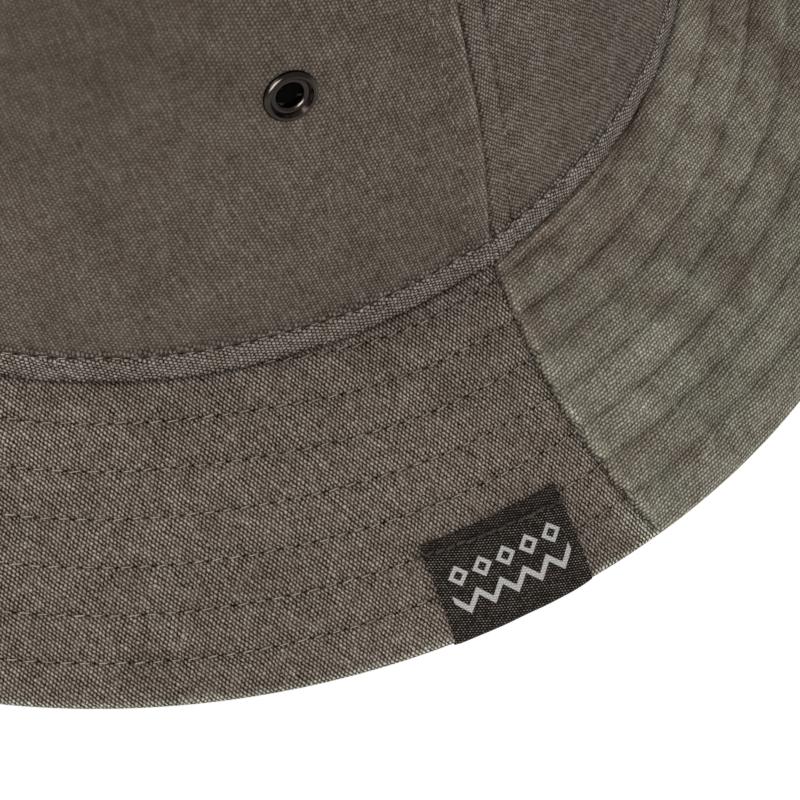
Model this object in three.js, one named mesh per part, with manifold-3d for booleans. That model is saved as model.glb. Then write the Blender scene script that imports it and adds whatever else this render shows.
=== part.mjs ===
// Cotton canvas bucket hat, millimetres, +Z up.
//
// The hat stands on its brim edge. The front faces -Y and the wearer's left is +X.
// Every layer follows the head outline, an ellipse at the height of the seam between crown and brim:
// a layer's cross-section is drawn as distances out from that outline and up from the floor,
// and is then swept round it. The side seams are at 0 and 180 degrees, where the outline meets the X axis.

import * as THREE from "three";
import { mergeVertices } from "three/addons/utils/BufferGeometryUtils.js";
import Module from "manifold-3d";

const wasm = await Module();
wasm.setup();

// ---- driving dimensions ----

const headHalfWidth = 88;
const headHalfLength = 99.8;
const outlineStep = 9; // degrees; the outline is a polygon, so that all layers keep the same facets

const crownHeight = 88; // along the slope of the wall
const crownLeanLow = 3.4; // degrees from upright, at the brim
const crownLeanHigh = 18.9; // degrees from upright, at the tip
const tipRise = 5; // how far the middle of the tip stands above its rim
const tipShares = [0.9, 0.75, 0.55, 0.35]; // where the tip's rings are; it is flat inside the last

const brimWidth = 60; // along the slope of the brim
const brimSlopeInner = 29.7; // degrees below level, at the crown
const brimSlopeOuter = 49.7; // degrees below level, at the edge

const canvas = 0.8; // thickness of the brim's cloth
const crownCanvas = 0.9; // the crown's cloth with its finish
const interlining = 0.5;
const interliningMargin = 1; // short of the crown and of the turned-in edge
const gap = 0.3; // between any two layers
const seamGapAngle = 0.09; // degrees each side of a side seam
const seamAllowance = 8; // cloth turned up or down inside the crown at a seam
const edgeTurn = 3.5; // cloth turned in round the brim edge

const brimRowPitch = 8.3;
const brimRowCount = 7;
const thread = 0.35;
const footTopstitch = 5.8; // from the crown's foot
const tipTopstitch = 4; // from the tip's rim
const sideTopstitch = 5.5; // from a side seam
const stitchMargin = 1; // between the ends of topstitched lines and what they stop short of

const sweatbandHeight = 31;
const sweatbandThickness = 1;
const sweatbandStep = 5; // height over which the band closes in on the wall, above the seam allowances
const allowanceMargin = 1; // from a seam allowance's end to what lies beside it
const tape = 0.5;
const tipTapeWidth = 14;
const sideTapeHalfAngle = 4; // degrees

const eyeletAngle = 22.5; // degrees from the side seam
const eyeletHeight = 59.5; // along the wall, above the brim
const eyeletHoleRadius = 2.7;
const eyeletBarrelRadius = 3.1;
const eyeletFlangeRadius = 5.2;
const eyeletFlangeHeight = 1.2;
const eyeletMetal = 0.4;
const eyeletLipRadius = 3.9;
const eyeletHoleLength = 6; // enough to go through the crown's cloth

const labelFrom = -18.8; // degrees
const labelTo = -6.5;
const labelLeg = 19.4; // from the brim edge to the label's sewn edge
const labelThickness = 0.5;
const labelStitchInset = 2.6;
const labelStitchMargin = 0.3; // degrees
const labelRowGap = 0.5; // degrees, from the label's sides to the rows it interrupts

const careLabelWidth = 26;
const careLabelLength = 42;
const careLabelThickness = 0.4;

// ---- how finely things are faceted ----

const wallSteps = 4;
const brimSteps = 4;
const tapeSteps = 2;
const labelSteps = 2;
const eyeletFacets = 16;
const eyeletCurveSteps = 3;
const weldDistance = 1e-5;

// ---- worked-out dimensions ----

const radians = THREE.MathUtils.degToRad;
const edgeHeight = gap + labelThickness; // the label folds under the brim edge and meets the floor
const lean = radians(crownLeanLow);
const leanPerMm = radians(crownLeanHigh - crownLeanLow) / crownHeight;
const slope = radians(brimSlopeInner);
const slopePerMm = radians(brimSlopeOuter - brimSlopeInner) / brimWidth;
const seamHeight = edgeHeight + (Math.cos(slope) - Math.cos(radians(brimSlopeOuter))) / slopePerMm;
const brimThickness = 2 * canvas + interlining + 2 * gap;
const underDepth = canvas + gap + interlining + gap;
const topFlangeInset = crownCanvas + gap;
const underFlangeInset = topFlangeInset + canvas + gap;
const tipTapeInset = topFlangeInset + crownCanvas + gap;

// ---- cross-sections: x is out from the head outline, y is up from the floor ----

// A point on the crown wall: height runs along its outer face, inset goes in through the cloth.
function wallAt(height, inset = 0) {
  const angle = lean + leanPerMm * height;
  const out = (Math.cos(angle) - Math.cos(lean)) / leanPerMm;
  const up = (Math.sin(angle) - Math.sin(lean)) / leanPerMm;
  return new THREE.Vector2(out - inset * Math.cos(angle), seamHeight + up - inset * Math.sin(angle));
}

// A point on the brim: width runs along its upper face, depth goes down through the layers.
function brimAt(width, depth = 0) {
  const angle = slope + slopePerMm * width;
  const out = (Math.sin(angle) - Math.sin(slope)) / slopePerMm;
  const down = (Math.cos(slope) - Math.cos(angle)) / slopePerMm;
  return new THREE.Vector2(out - depth * Math.sin(angle), seamHeight - down - depth * Math.cos(angle));
}

// Where a brim layer is cut off level at the edge.
function brimEdgeAt(depth, height = edgeHeight) {
  const angle = radians(brimSlopeOuter);
  const along = (edgeHeight - height) / Math.tan(angle);
  return new THREE.Vector2(brimAt(brimWidth).x - depth / Math.sin(angle) + along, height);
}

// Where a brim layer, run inwards from the crown seam, meets the inner face of the crown wall's inset.
function brimCornerAt(inset, depth) {
  const atSeam = brimAt(0, depth);
  const out = wallAt(0, inset).x;
  return new THREE.Vector2(out, atSeam.y + (atSeam.x - out) * Math.tan(slope));
}

// A point on the tip's upper face, at a distance in from its rim.
function tipAt(inwards, depth = 0) {
  const rim = wallAt(crownHeight);
  const share = 1 - inwards / (headHalfWidth + rim.x);
  const height = rim.y + gap + crownCanvas + tipRise * (1 - share * share);
  return new THREE.Vector2(rim.x - inwards, height - depth);
}

// Evenly spaced values from one number to another, both included.
function spaced(from, to, steps) {
  return Array.from({ length: steps + 1 }, (_, i) => THREE.MathUtils.lerp(from, to, i / steps));
}

// A strip of cloth against the wall, between two heights.
function wallStrip(low, high, inset, thickness, steps) {
  const heights = spaced(low, high, steps);
  const outer = heights.map((height) => wallAt(height, inset));
  const inner = heights.reverse().map((height) => wallAt(height, inset + thickness));
  return [...outer, ...inner];
}

// A small triangular section, for thread lying on the brim or on the wall.
function threadSection(surfaceAt, place) {
  return [
    surfaceAt(place - thread / 2, -gap),
    surfaceAt(place + thread / 2, -gap),
    surfaceAt(place, -gap - thread),
  ];
}

// ---- sweeping ----

function outlineCorner(index) {
  const angle = radians(index * outlineStep);
  const point = new THREE.Vector2(headHalfWidth * Math.cos(angle), headHalfLength * Math.sin(angle));
  const normal = new THREE.Vector2(Math.cos(angle) / headHalfWidth, Math.sin(angle) / headHalfLength);
  return { point, normal: normal.normalize() };
}

// The outline's point and outward normal at any angle, on the flat between two corners.
function outlineAt(degrees) {
  const place = degrees / outlineStep;
  const before = outlineCorner(Math.floor(place));
  const after = outlineCorner(Math.floor(place) + 1);
  const share = place - Math.floor(place);
  return {
    point: before.point.lerp(after.point, share),
    normal: before.normal.lerp(after.normal, share),
  };
}

function placeAt(degrees, section) {
  const { point, normal } = outlineAt(degrees);
  return new THREE.Vector3(point.x + normal.x * section.x, point.y + normal.y * section.x, section.y);
}

// The angles of a sweep: its two ends and every corner of the outline between them.
function anglesBetween(from, to) {
  const first = Math.floor(from / outlineStep) + 1;
  const last = Math.ceil(to / outlineStep) - 1;
  const corners = Array.from({ length: last - first + 1 }, (_, i) => (first + i) * outlineStep);
  return [from, ...corners, to];
}

function signedVolume(points, triangles) {
  let sum = 0;
  for (let i = 0; i < triangles.length; i += 3) {
    const [a, b, c] = [0, 1, 2].map((k) => points[triangles[i + k]]);
    sum += a.dot(new THREE.Vector3().crossVectors(b, c)) / 6;
  }
  return sum;
}

// Triangles that fill a flat outline, wound the way the outline runs.
function fill(outline) {
  const way = Math.sign(THREE.ShapeUtils.area(outline));
  return THREE.ShapeUtils.triangulateShape(outline, []).map((corners) => {
    const area = THREE.ShapeUtils.area(corners.map((k) => outline[k]));
    return Math.sign(area) === way ? corners : corners.toReversed();
  });
}

// Joins loops of points, each with as many points as the next, into one closed skin.
// A ring closes on its first loop. Anything else is capped at both ends, as the flat outline is filled.
function loft(loops, outline = null) {
  const size = loops[0].length;
  const points = loops.flat();
  const triangles = [];
  const spans = outline ? loops.length - 1 : loops.length;
  for (let i = 0; i < spans; i++) {
    const here = i * size;
    const next = ((i + 1) % loops.length) * size;
    for (let k = 0; k < size; k++) {
      const m = (k + 1) % size;
      triangles.push(here + k, next + k, next + m, here + k, next + m, here + m);
    }
  }
  if (outline) {
    const last = (loops.length - 1) * size;
    for (const corners of fill(outline)) {
      triangles.push(...corners);
      triangles.push(...corners.toReversed().map((k) => last + k));
    }
  }
  if (signedVolume(points, triangles) < 0) {
    triangles.reverse();
  }
  const geometry = new THREE.BufferGeometry().setFromPoints(points);
  geometry.setIndex(triangles);
  return geometry;
}

// A cross-section swept from one angle to another.
function sweep(section, from, to) {
  const loops = anglesBetween(from, to).map((degrees) => section.map((point) => placeAt(degrees, point)));
  return loft(loops, section);
}

// A cross-section swept all the way round.
function sweepRound(section) {
  const corners = Array.from({ length: 360 / outlineStep }, (_, i) => i * outlineStep);
  return loft(corners.map((degrees) => section.map((point) => placeAt(degrees, point))));
}

// ---- cutting ----

function toSolid(geometry) {
  const bare = geometry.clone();
  bare.deleteAttribute("normal");
  bare.deleteAttribute("uv");
  const merged = mergeVertices(bare, weldDistance);
  const vertProperties = Float32Array.from(merged.attributes.position.array);
  const triVerts = Uint32Array.from(merged.index.array);
  return new wasm.Manifold(new wasm.Mesh({ numProp: 3, vertProperties, triVerts }));
}

function cut(geometry, cutters) {
  const left = cutters.reduce((solid, cutter) => solid.subtract(toSolid(cutter)), toSolid(geometry));
  const mesh = left.getMesh();
  const result = new THREE.BufferGeometry();
  result.setAttribute("position", new THREE.BufferAttribute(mesh.vertProperties, 3));
  result.setIndex(new THREE.BufferAttribute(mesh.triVerts, 1));
  return result;
}

// ---- materials ----

function material(color, roughness, metalness = 0) {
  return new THREE.MeshStandardMaterial({ color, roughness, metalness });
}

const canvasCloth = material(0x5d544b, 0.95);
const stiffener = material(0xcfcabf, 0.9);
const bandCloth = material(0x4a433c, 0.9);
const tapeCloth = material(0x544c44, 0.9);
const threadFibre = material(0x7d7468, 0.8);
const blackThread = material(0x1c1a19, 0.8);
const gunmetal = material(0x3a3633, 0.3, 1);
const wovenLabel = material(0x2b2726, 0.7);
const satin = material(0xe6e4df, 0.5);

const hat = new THREE.Group();

function add(name, geometry, cloth, parent = hat) {
  const mesh = new THREE.Mesh(geometry, cloth);
  mesh.name = name;
  parent.add(mesh);
  return mesh;
}

// The two halves of the hat between its side seams.
const halves = [
  { side: "front", from: 180 + seamGapAngle, to: 360 - seamGapAngle },
  { side: "back", from: seamGapAngle, to: 180 - seamGapAngle },
];

// ---- crown ----

// An eyelet each side of both side seams.
const eyelets = [
  { name: "left_front", angle: 360 - eyeletAngle },
  { name: "left_back", angle: eyeletAngle },
  { name: "right_back", angle: 180 - eyeletAngle },
  { name: "right_front", angle: 180 + eyeletAngle },
];

// A group whose +Y runs straight out of the wall at an eyelet.
function eyeletFrame(angle) {
  const { normal } = outlineAt(angle);
  const tilt = lean + leanPerMm * eyeletHeight;
  const flat = Math.cos(tilt) / normal.length();
  const outward = new THREE.Vector3(normal.x * flat, normal.y * flat, Math.sin(tilt));
  const frame = new THREE.Group();
  frame.position.copy(placeAt(angle, wallAt(eyeletHeight)));
  frame.quaternion.setFromUnitVectors(new THREE.Vector3(0, 1, 0), outward);
  frame.updateMatrixWorld(true);
  return frame;
}

const clothHoleRadius = eyeletBarrelRadius + gap;

function eyeletHole(angle) {
  const hole = new THREE.CylinderGeometry(clothHoleRadius, clothHoleRadius, eyeletHoleLength, eyeletFacets);
  return hole.applyMatrix4(eyeletFrame(angle).matrixWorld);
}

// The wall's foot is cut parallel to the brim that it stands on.
function crownWallSection() {
  const foot = gap / Math.cos(slope);
  const innerFoot = foot + crownCanvas * Math.tan(slope);
  const strip = wallStrip(foot, crownHeight, 0, crownCanvas, wallSteps);
  strip[strip.length - 1] = wallAt(innerFoot, crownCanvas);
  return strip;
}

for (const { side, from, to } of halves) {
  const holes = eyelets.filter(({ angle }) => angle > from && angle < to);
  const wall = sweep(crownWallSection(), from, to);
  add(`crown_${side}_panel`, cut(wall, holes.map(({ angle }) => eyeletHole(angle))), canvasCloth);
}

// The tip is an oval cap with its seam allowance turned down inside the wall.
function crownTip() {
  const corners = Array.from({ length: 360 / outlineStep }, (_, i) => i * outlineStep);
  const rim = wallAt(crownHeight);
  const underside = rim.y + gap;
  const level = (section) => corners.map((degrees) => placeAt(degrees, section));
  const domed = (share, height) =>
    level(new THREE.Vector2(rim.x, height + tipRise * (1 - share * share))).map((point) =>
      point.multiply(new THREE.Vector3(share, share, 1)),
    );
  const flangeFoot = crownHeight - seamAllowance;
  const topLoops = tipShares.toReversed().map((share) => domed(share, underside + crownCanvas));
  const underLoops = tipShares.map((share) => domed(share, underside));
  const flange = [
    new THREE.Vector2(rim.x, underside + crownCanvas),
    new THREE.Vector2(rim.x, underside),
    new THREE.Vector2(wallAt(crownHeight, topFlangeInset).x, underside),
    wallAt(flangeFoot, topFlangeInset),
    wallAt(flangeFoot, topFlangeInset + crownCanvas),
    new THREE.Vector2(wallAt(crownHeight, topFlangeInset + crownCanvas).x, underside),
  ];
  const loops = [...topLoops, ...flange.map(level), ...underLoops];
  const flat = loops[0].map((point) => new THREE.Vector2(point.x, point.y));
  return loft(loops, flat);
}

add("crown_tip", crownTip(), canvasCloth);

const tipTapeLow = crownHeight - tipTapeWidth;
const tipTapeSection = wallStrip(tipTapeLow, crownHeight - 2 * gap, tipTapeInset, tape, tapeSteps);
add("tip_seam_tape", sweepRound(tipTapeSection), tapeCloth);

const seams = [
  { name: "left", angle: 0 },
  { name: "right", angle: 180 },
];

const sideTapeLow = seamAllowance + allowanceMargin;
const sideTapeHigh = crownHeight - seamAllowance - allowanceMargin;
for (const { name, angle } of seams) {
  const section = wallStrip(sideTapeLow, sideTapeHigh, topFlangeInset, tape, wallSteps);
  const strip = sweep(section, angle - sideTapeHalfAngle, angle + sideTapeHalfAngle);
  add(`${name}_side_seam_tape`, strip, tapeCloth);
}

// ---- brim ----

// The upper cloth turns up inside the crown at one end and in round the brim edge at the other.
function brimTopSection() {
  const upper = spaced(0, brimWidth, brimSteps).slice(0, -1).map((width) => brimAt(width));
  const lower = spaced(0, brimWidth - edgeTurn, brimSteps).map((width) => brimAt(width, canvas));
  return [
    wallAt(seamAllowance, topFlangeInset),
    brimCornerAt(topFlangeInset, 0),
    ...upper,
    brimEdgeAt(0),
    brimEdgeAt(2 * canvas),
    brimAt(brimWidth - edgeTurn, 2 * canvas),
    ...lower.toReversed(),
    brimCornerAt(topFlangeInset + canvas, canvas),
    wallAt(seamAllowance, topFlangeInset + canvas),
  ];
}

function brimUnderSection() {
  const upper = spaced(0, brimWidth - edgeTurn, brimSteps).map((width) => brimAt(width, underDepth));
  const lower = spaced(0, brimWidth - edgeTurn, brimSteps).map((width) => brimAt(width, brimThickness));
  return [
    wallAt(seamAllowance, underFlangeInset),
    brimCornerAt(underFlangeInset, underDepth),
    ...upper,
    brimEdgeAt(underDepth),
    brimEdgeAt(brimThickness),
    ...lower.toReversed(),
    brimCornerAt(underFlangeInset + canvas, brimThickness),
    wallAt(seamAllowance, underFlangeInset + canvas),
  ];
}

for (const { side, from, to } of halves) {
  add(`brim_top_${side}_panel`, sweep(brimTopSection(), from, to), canvasCloth);
  add(`brim_under_${side}_panel`, sweep(brimUnderSection(), from, to), canvasCloth);
}

// The stiffener lies between the two cloths and stops short of the turned-in edge.
const interliningOuter = brimWidth - edgeTurn - interliningMargin;
const interliningWidths = spaced(interliningMargin, interliningOuter, brimSteps);
const interliningSection = [
  ...interliningWidths.map((width) => brimAt(width, canvas + gap)),
  ...interliningWidths.toReversed().map((width) => brimAt(width, canvas + gap + interlining)),
];
add("brim_interlining", sweepRound(interliningSection), stiffener);

// ---- sweatband ----

// The band stands over the turned-up seam allowances at its foot and lies on the wall above them.
function sweatbandSection() {
  const footInset = underFlangeInset + canvas + gap;
  const headInset = topFlangeInset + tape + gap;
  const places = [
    [0, footInset],
    [seamAllowance + allowanceMargin, footInset],
    [seamAllowance + allowanceMargin + sweatbandStep, headInset],
    [sweatbandHeight, headInset],
  ];
  const outer = places.map(([height, inset]) => wallAt(height, inset));
  const inner = places.map(([height, inset]) => wallAt(height, inset + sweatbandThickness));
  return [...outer, ...inner.toReversed()];
}

add("sweatband", sweepRound(sweatbandSection()), bandCloth);

// ---- topstitching ----

// Rows are numbered from the brim edge. The label is sewn over the rows that it covers.
for (let row = 1; row <= brimRowCount; row++) {
  const width = brimWidth - row * brimRowPitch;
  const section = threadSection(brimAt, width);
  const covered = width > brimWidth - labelLeg - stitchMargin;
  const line = covered
    ? sweep(section, labelTo + labelRowGap, labelFrom - labelRowGap + 360)
    : sweepRound(section);
  add(`brim_topstitch_row_${row}`, line, threadFibre);
}

add("crown_foot_topstitch", sweepRound(threadSection(wallAt, footTopstitch)), threadFibre);
add("crown_tip_topstitch", sweepRound(threadSection(tipAt, tipTopstitch)), threadFibre);

// Two lines beside each side seam of the crown, from above the topstitching at its foot to the tip.
const sideLineLow = footTopstitch + stitchMargin;
const sideLineHigh = crownHeight - stitchMargin;
for (const { name, angle } of seams) {
  for (const [side, way] of [["front", -1], ["back", 1]]) {
    const turn = name === "left" ? way : -way;
    const middle = angle + turn * THREE.MathUtils.radToDeg(sideTopstitch / headHalfLength);
    const halfThread = THREE.MathUtils.radToDeg(thread / 2 / headHalfLength);
    const section = wallStrip(sideLineLow, sideLineHigh, -gap - thread, thread, wallSteps);
    const line = sweep(section, middle - halfThread, middle + halfThread);
    add(`${name}_seam_${side}_topstitch`, line, threadFibre);
  }
}

// ---- eyelets ----

// Each eyelet is a rolled flange and barrel, set over a washer behind the cloth.
const washerFront = -crownCanvas - gap;
const washerBack = washerFront - eyeletMetal;
const lipFront = washerBack - gap;
const lipBack = lipFront - eyeletMetal;

function eyeletSection() {
  const flange = new THREE.Path();
  flange.moveTo(eyeletFlangeRadius, gap);
  flange.quadraticCurveTo(
    eyeletFlangeRadius, gap + eyeletFlangeHeight,
    (eyeletFlangeRadius + eyeletHoleRadius) / 2, gap + eyeletFlangeHeight,
  );
  flange.quadraticCurveTo(eyeletHoleRadius, gap + eyeletFlangeHeight, eyeletHoleRadius, gap);
  flange.lineTo(eyeletHoleRadius, lipBack);
  flange.lineTo(eyeletLipRadius, lipBack);
  flange.lineTo(eyeletLipRadius, lipFront);
  flange.lineTo(eyeletBarrelRadius, lipFront);
  flange.lineTo(eyeletBarrelRadius, gap);
  flange.closePath();
  return flange.getPoints(eyeletCurveSteps);
}

function washerSection() {
  const inner = eyeletBarrelRadius + gap;
  return [
    new THREE.Vector2(inner, washerBack),
    new THREE.Vector2(eyeletFlangeRadius, washerBack),
    new THREE.Vector2(eyeletFlangeRadius, washerFront),
    new THREE.Vector2(inner, washerFront),
    new THREE.Vector2(inner, washerBack),
  ];
}

for (const { name, angle } of eyelets) {
  const frame = eyeletFrame(angle);
  hat.add(frame);
  add(`${name}_eyelet`, new THREE.LatheGeometry(eyeletSection(), eyeletFacets), gunmetal, frame);
  add(`${name}_eyelet_washer`, new THREE.LatheGeometry(washerSection(), eyeletFacets), gunmetal, frame);
}

// ---- brim label: a woven tab folded over the brim edge ----

function labelSection() {
  const widths = spaced(brimWidth - labelLeg, brimWidth, labelSteps);
  const outside = gap + labelThickness;
  const deep = brimThickness + gap;
  const under = widths.slice(0, -1);
  return [
    ...widths.slice(0, -1).map((width) => brimAt(width, -outside)),
    brimEdgeAt(-outside),
    brimEdgeAt(-outside, 0),
    brimEdgeAt(brimThickness, 0),
    ...under.toReversed().map((width) => brimAt(width, deep + labelThickness)),
    ...under.map((width) => brimAt(width, deep)),
    brimEdgeAt(brimThickness, labelThickness),
    brimEdgeAt(-gap, labelThickness),
    ...under.toReversed().map((width) => brimAt(width, -gap)),
  ];
}

add("brim_label", sweep(labelSection(), labelFrom, labelTo), wovenLabel);

const labelStitchRow = brimWidth - labelLeg + labelStitchInset;
const overLabel = (width, depth) => brimAt(width, depth - gap - labelThickness);
const labelStitchFrom = labelFrom + labelStitchMargin;
const labelStitchTo = labelTo - labelStitchMargin;
const labelStitch = sweep(threadSection(overLabel, labelStitchRow), labelStitchFrom, labelStitchTo);
add("brim_label_stitch", labelStitch, blackThread);

// ---- care label: hangs free inside the back of the crown from the tip seam's tape ----

// The tape is rounder than the label is wide, so the label hangs this far in from the tape's middle.
const careLabelStandOff = 2.4;
const careHinge = wallAt(tipTapeLow, tipTapeInset + tape);
const careHingeOut = headHalfLength + careHinge.x - careLabelStandOff;
const careLabel = new THREE.BoxGeometry(careLabelWidth, careLabelThickness, careLabelLength);
careLabel.translate(0, careHingeOut, careHinge.y - careLabelLength / 2);
add("care_label", careLabel, satin);

export default hat;
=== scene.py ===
"""Looks of the cotton canvas bucket hat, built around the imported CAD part.

Shapes are worked out in millimetres and turned into metres when a mesh is made.
The frame is the part's own: +Z up, the front faces -Y, the wearer's left is +X, and the side seams are
where the head outline meets the X axis. Places on the hat are an angle round that outline, a distance
along the cloth and a lift off its face.
"""

import math

import bpy
import numpy as np
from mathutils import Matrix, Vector


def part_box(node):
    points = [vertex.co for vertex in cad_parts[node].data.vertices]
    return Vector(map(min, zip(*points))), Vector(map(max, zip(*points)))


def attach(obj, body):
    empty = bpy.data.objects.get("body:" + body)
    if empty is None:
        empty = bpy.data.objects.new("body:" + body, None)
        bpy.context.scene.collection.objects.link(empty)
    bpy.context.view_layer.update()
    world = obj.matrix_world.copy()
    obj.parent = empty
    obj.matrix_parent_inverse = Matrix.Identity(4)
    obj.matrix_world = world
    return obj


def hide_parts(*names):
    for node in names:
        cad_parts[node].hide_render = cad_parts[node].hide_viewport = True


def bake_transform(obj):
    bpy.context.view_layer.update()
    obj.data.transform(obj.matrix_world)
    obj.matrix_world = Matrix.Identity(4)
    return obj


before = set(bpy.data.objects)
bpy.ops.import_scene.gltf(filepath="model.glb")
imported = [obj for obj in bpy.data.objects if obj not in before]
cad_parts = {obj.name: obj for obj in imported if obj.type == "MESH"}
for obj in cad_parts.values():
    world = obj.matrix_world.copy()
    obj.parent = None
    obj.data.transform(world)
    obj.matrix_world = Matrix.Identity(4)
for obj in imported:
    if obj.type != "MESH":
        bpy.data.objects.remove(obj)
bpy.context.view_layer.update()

METRE = 0.001

# ---- driving dimensions of the hat, in millimetres and degrees ----

HALF_WIDTH = 88.0
HALF_LENGTH = 99.8
CROWN_HEIGHT = 88.0
CROWN_LEAN = (3.4, 18.9)
TIP_RISE = 5.0
BRIM_WIDTH = 60.0
BRIM_SLOPE = (29.7, 49.7)
EDGE_HEIGHT = 0.8
BRIM_THICKNESS = 2.7
CANVAS = 0.8
CROWN_CANVAS = 0.9

# The brim's edge: its cloths are pressed thinner there and roll round this radius.
BRIM_LIFT = 0.35
EDGE_RADIUS = 0.8
EDGE_MIDDLE = 59.0
PRESSED = (55.0, 58.8)

# The rows lie closer together at the sides, so each of these has a value there and one at the front.
ROW_COUNT = 7
ROW_FIRST = (50.3, 51.4)
ROW_PITCH = (7.75, 8.62)
FOOT_ROW = 5.8
TIP_ROW = 4.0
SIDE_ROW = 5.5
STITCH_PERIOD = 3.3
STITCH_LENGTH = 2.1
THREAD_RADIUS = 0.115
THREAD_LIFT = 0.10

EYELET_ANGLE = 22.5
EYELET_HEIGHT = 59.5
EYELET_CLEARANCE = 3.5

LABEL_LEG = 19.4
LABEL_MIDDLE = (-12.7, -12.65)
LABEL_HALF = (6.3, 5.97)
LABEL_WIDTH = 28.2
LABEL_CLOTH = 0.35
LABEL_GAP = 0.05
LABEL_STITCH_INSET = (1.9, 3.4)
LABEL_STITCH_COUNT = 15
LABEL_STITCH_LENGTH = 2.3
LABEL_STITCH_RADIUS = 0.27

# The label's motif: lozenges over a zigzag of the same pitch.
MOTIF_COUNT = 5
MOTIF_PITCH = 4.8
MOTIF_EDGE = 2.1
LOZENGE_MIDDLE = 7.6
LOZENGE_SIZE = 1.5
ZIGZAG_HEAD = 11.4
ZIGZAG_SLOPE = 1.15

BAND_HEIGHT = 31.0
BAND_FOOT_INSET = 3.4
BAND_HEAD_INSET = 2.0
BAND_THICKNESS = 1.0
BAND_EDGE = 0.5
TAPE_THICKNESS = 0.45
TIP_TAPE_WIDTH = 14.0
TIP_TAPE_INSET = 2.9
SIDE_TAPE_HALF = 4.0
SIDE_TAPE_HEIGHTS = (9.0, 79.0)
SIDE_TAPE_INSET = 1.7
STIFFENER_WIDTHS = (1.0, 54.5)
STIFFENER_DEPTH = 1.15
STIFFENER_THICKNESS = 0.4

CARE_TAB = 5.0
CARE_CLOTH = 0.35
CARE_BOW = 1.9
CARE_CURL = 0.9

# The hat's two halves as angles, and how far inside its half each cloth ends at a side seam.
HALVES = {"front": (-180.0, 0.0), "back": (0.0, 180.0)}
SEAM_GAP = 0.04

# The angle from the head outline to the pitch of each cloth's rows.
BRIM_GRAIN = {"front": 162.0, "back": 80.0}
LINING_GRAIN = {"front": 70.0, "back": 110.0}
CROWN_GRAIN = {"front": 13.0, "back": 42.0}
FOOT_BAND_GRAIN = 65.0


# ---- curves of the hat ----


def smooth(low, high, value):
    """Rises smoothly from 0 at low to 1 at high."""
    share = np.clip((value - low) / (high - low), 0.0, 1.0)
    return share * share * (3.0 - 2.0 * share)


def bell(value, width):
    return np.exp(-((value / width) ** 2))


def patchy(x, y, seed):
    """Smooth random heights from -1 to 1, about one bump per unit of x and y."""
    size = 64
    lattice = np.random.default_rng(seed).uniform(-1.0, 1.0, (size, size))
    x, y = np.broadcast_arrays(x, y)
    column, line = np.floor(x).astype(int), np.floor(y).astype(int)
    a, b = smooth(0.0, 1.0, x - column), smooth(0.0, 1.0, y - line)

    def corner(right, above):
        return lattice[(column + right) % size, (line + above) % size]

    low = corner(0, 0) * (1.0 - a) + corner(1, 0) * a
    high = corner(0, 1) * (1.0 - a) + corner(1, 1) * a
    return low * (1.0 - b) + high * b


def outline(angle):
    """A point of the head outline and the direction straight out from it."""
    point = np.stack([HALF_WIDTH * np.cos(angle), HALF_LENGTH * np.sin(angle)], -1)
    normal = np.stack([HALF_LENGTH * np.cos(angle), HALF_WIDTH * np.sin(angle)], -1)
    return point, normal / np.linalg.norm(normal, axis=-1, keepdims=True)


# Length of the head outline and the way it faces, both measured from the left side seam.
TABLE_ANGLES = np.radians(np.linspace(-200.0, 200.0, 4001))
TABLE_STEP = TABLE_ANGLES[1] - TABLE_ANGLES[0]
TABLE_ACROSS = HALF_WIDTH * np.sin(TABLE_ANGLES)
TABLE_ALONG = HALF_LENGTH * np.cos(TABLE_ANGLES)
TABLE_FACING = np.unwrap(np.arctan2(TABLE_ACROSS, TABLE_ALONG))
TABLE_FACING -= np.interp(0.0, TABLE_ANGLES, TABLE_FACING)
TABLE_SPEED = np.hypot(TABLE_ACROSS, TABLE_ALONG)
TABLE_PARTS = (TABLE_SPEED[1:] + TABLE_SPEED[:-1]) / 2.0 * TABLE_STEP
TABLE_LENGTH = np.concatenate([[0.0], np.cumsum(TABLE_PARTS)])
TABLE_LENGTH -= np.interp(0.0, TABLE_ANGLES, TABLE_LENGTH)


def facing(angle):
    return np.interp(angle, TABLE_ANGLES, TABLE_FACING)


def round_length(angle, out):
    """Distance from the left side seam to this angle, along a line that far out from the head outline."""
    return np.interp(angle, TABLE_ANGLES, TABLE_LENGTH) + out * facing(angle)


def angle_at(length, out):
    """The angle at which round_length has this value."""
    return np.interp(length, TABLE_LENGTH + out * TABLE_FACING, TABLE_ANGLES)


def place(angle, out, up):
    """Points of the hat from an angle, a distance out from the head outline and a height."""
    angle, out, up = np.broadcast_arrays(angle, out, up)
    point, normal = outline(angle)
    return np.concatenate([point + normal * out[..., None], up[..., None]], -1)


def arc(start, turn_per_mm, along):
    """Steps taken across and down by a line that starts at this slope and bends evenly."""
    end = start + turn_per_mm * along
    return (np.sin(end) - np.sin(start)) / turn_per_mm, (np.cos(start) - np.cos(end)) / turn_per_mm, end


LEAN = math.radians(CROWN_LEAN[0])
LEAN_PER_MM = (math.radians(CROWN_LEAN[1]) - LEAN) / CROWN_HEIGHT
SLOPE = math.radians(BRIM_SLOPE[0])
SLOPE_PER_MM = (math.radians(BRIM_SLOPE[1]) - SLOPE) / BRIM_WIDTH
SEAM_HEIGHT = EDGE_HEIGHT + arc(SLOPE, SLOPE_PER_MM, BRIM_WIDTH)[1]


def wall_at(height, lift):
    """Out and up, for a place on the crown wall. Lift is out of the wall."""
    up, back, lean = arc(LEAN, LEAN_PER_MM, height)
    return lift * np.cos(lean) - back, SEAM_HEIGHT + up + lift * np.sin(lean)


def brim_at(width, lift):
    """Out and up, for a place on the brim's upper face. Lift is up from it."""
    out, down, slope = arc(SLOPE, SLOPE_PER_MM, width)
    return out + lift * np.sin(slope), SEAM_HEIGHT - down + lift * np.cos(slope)


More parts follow.
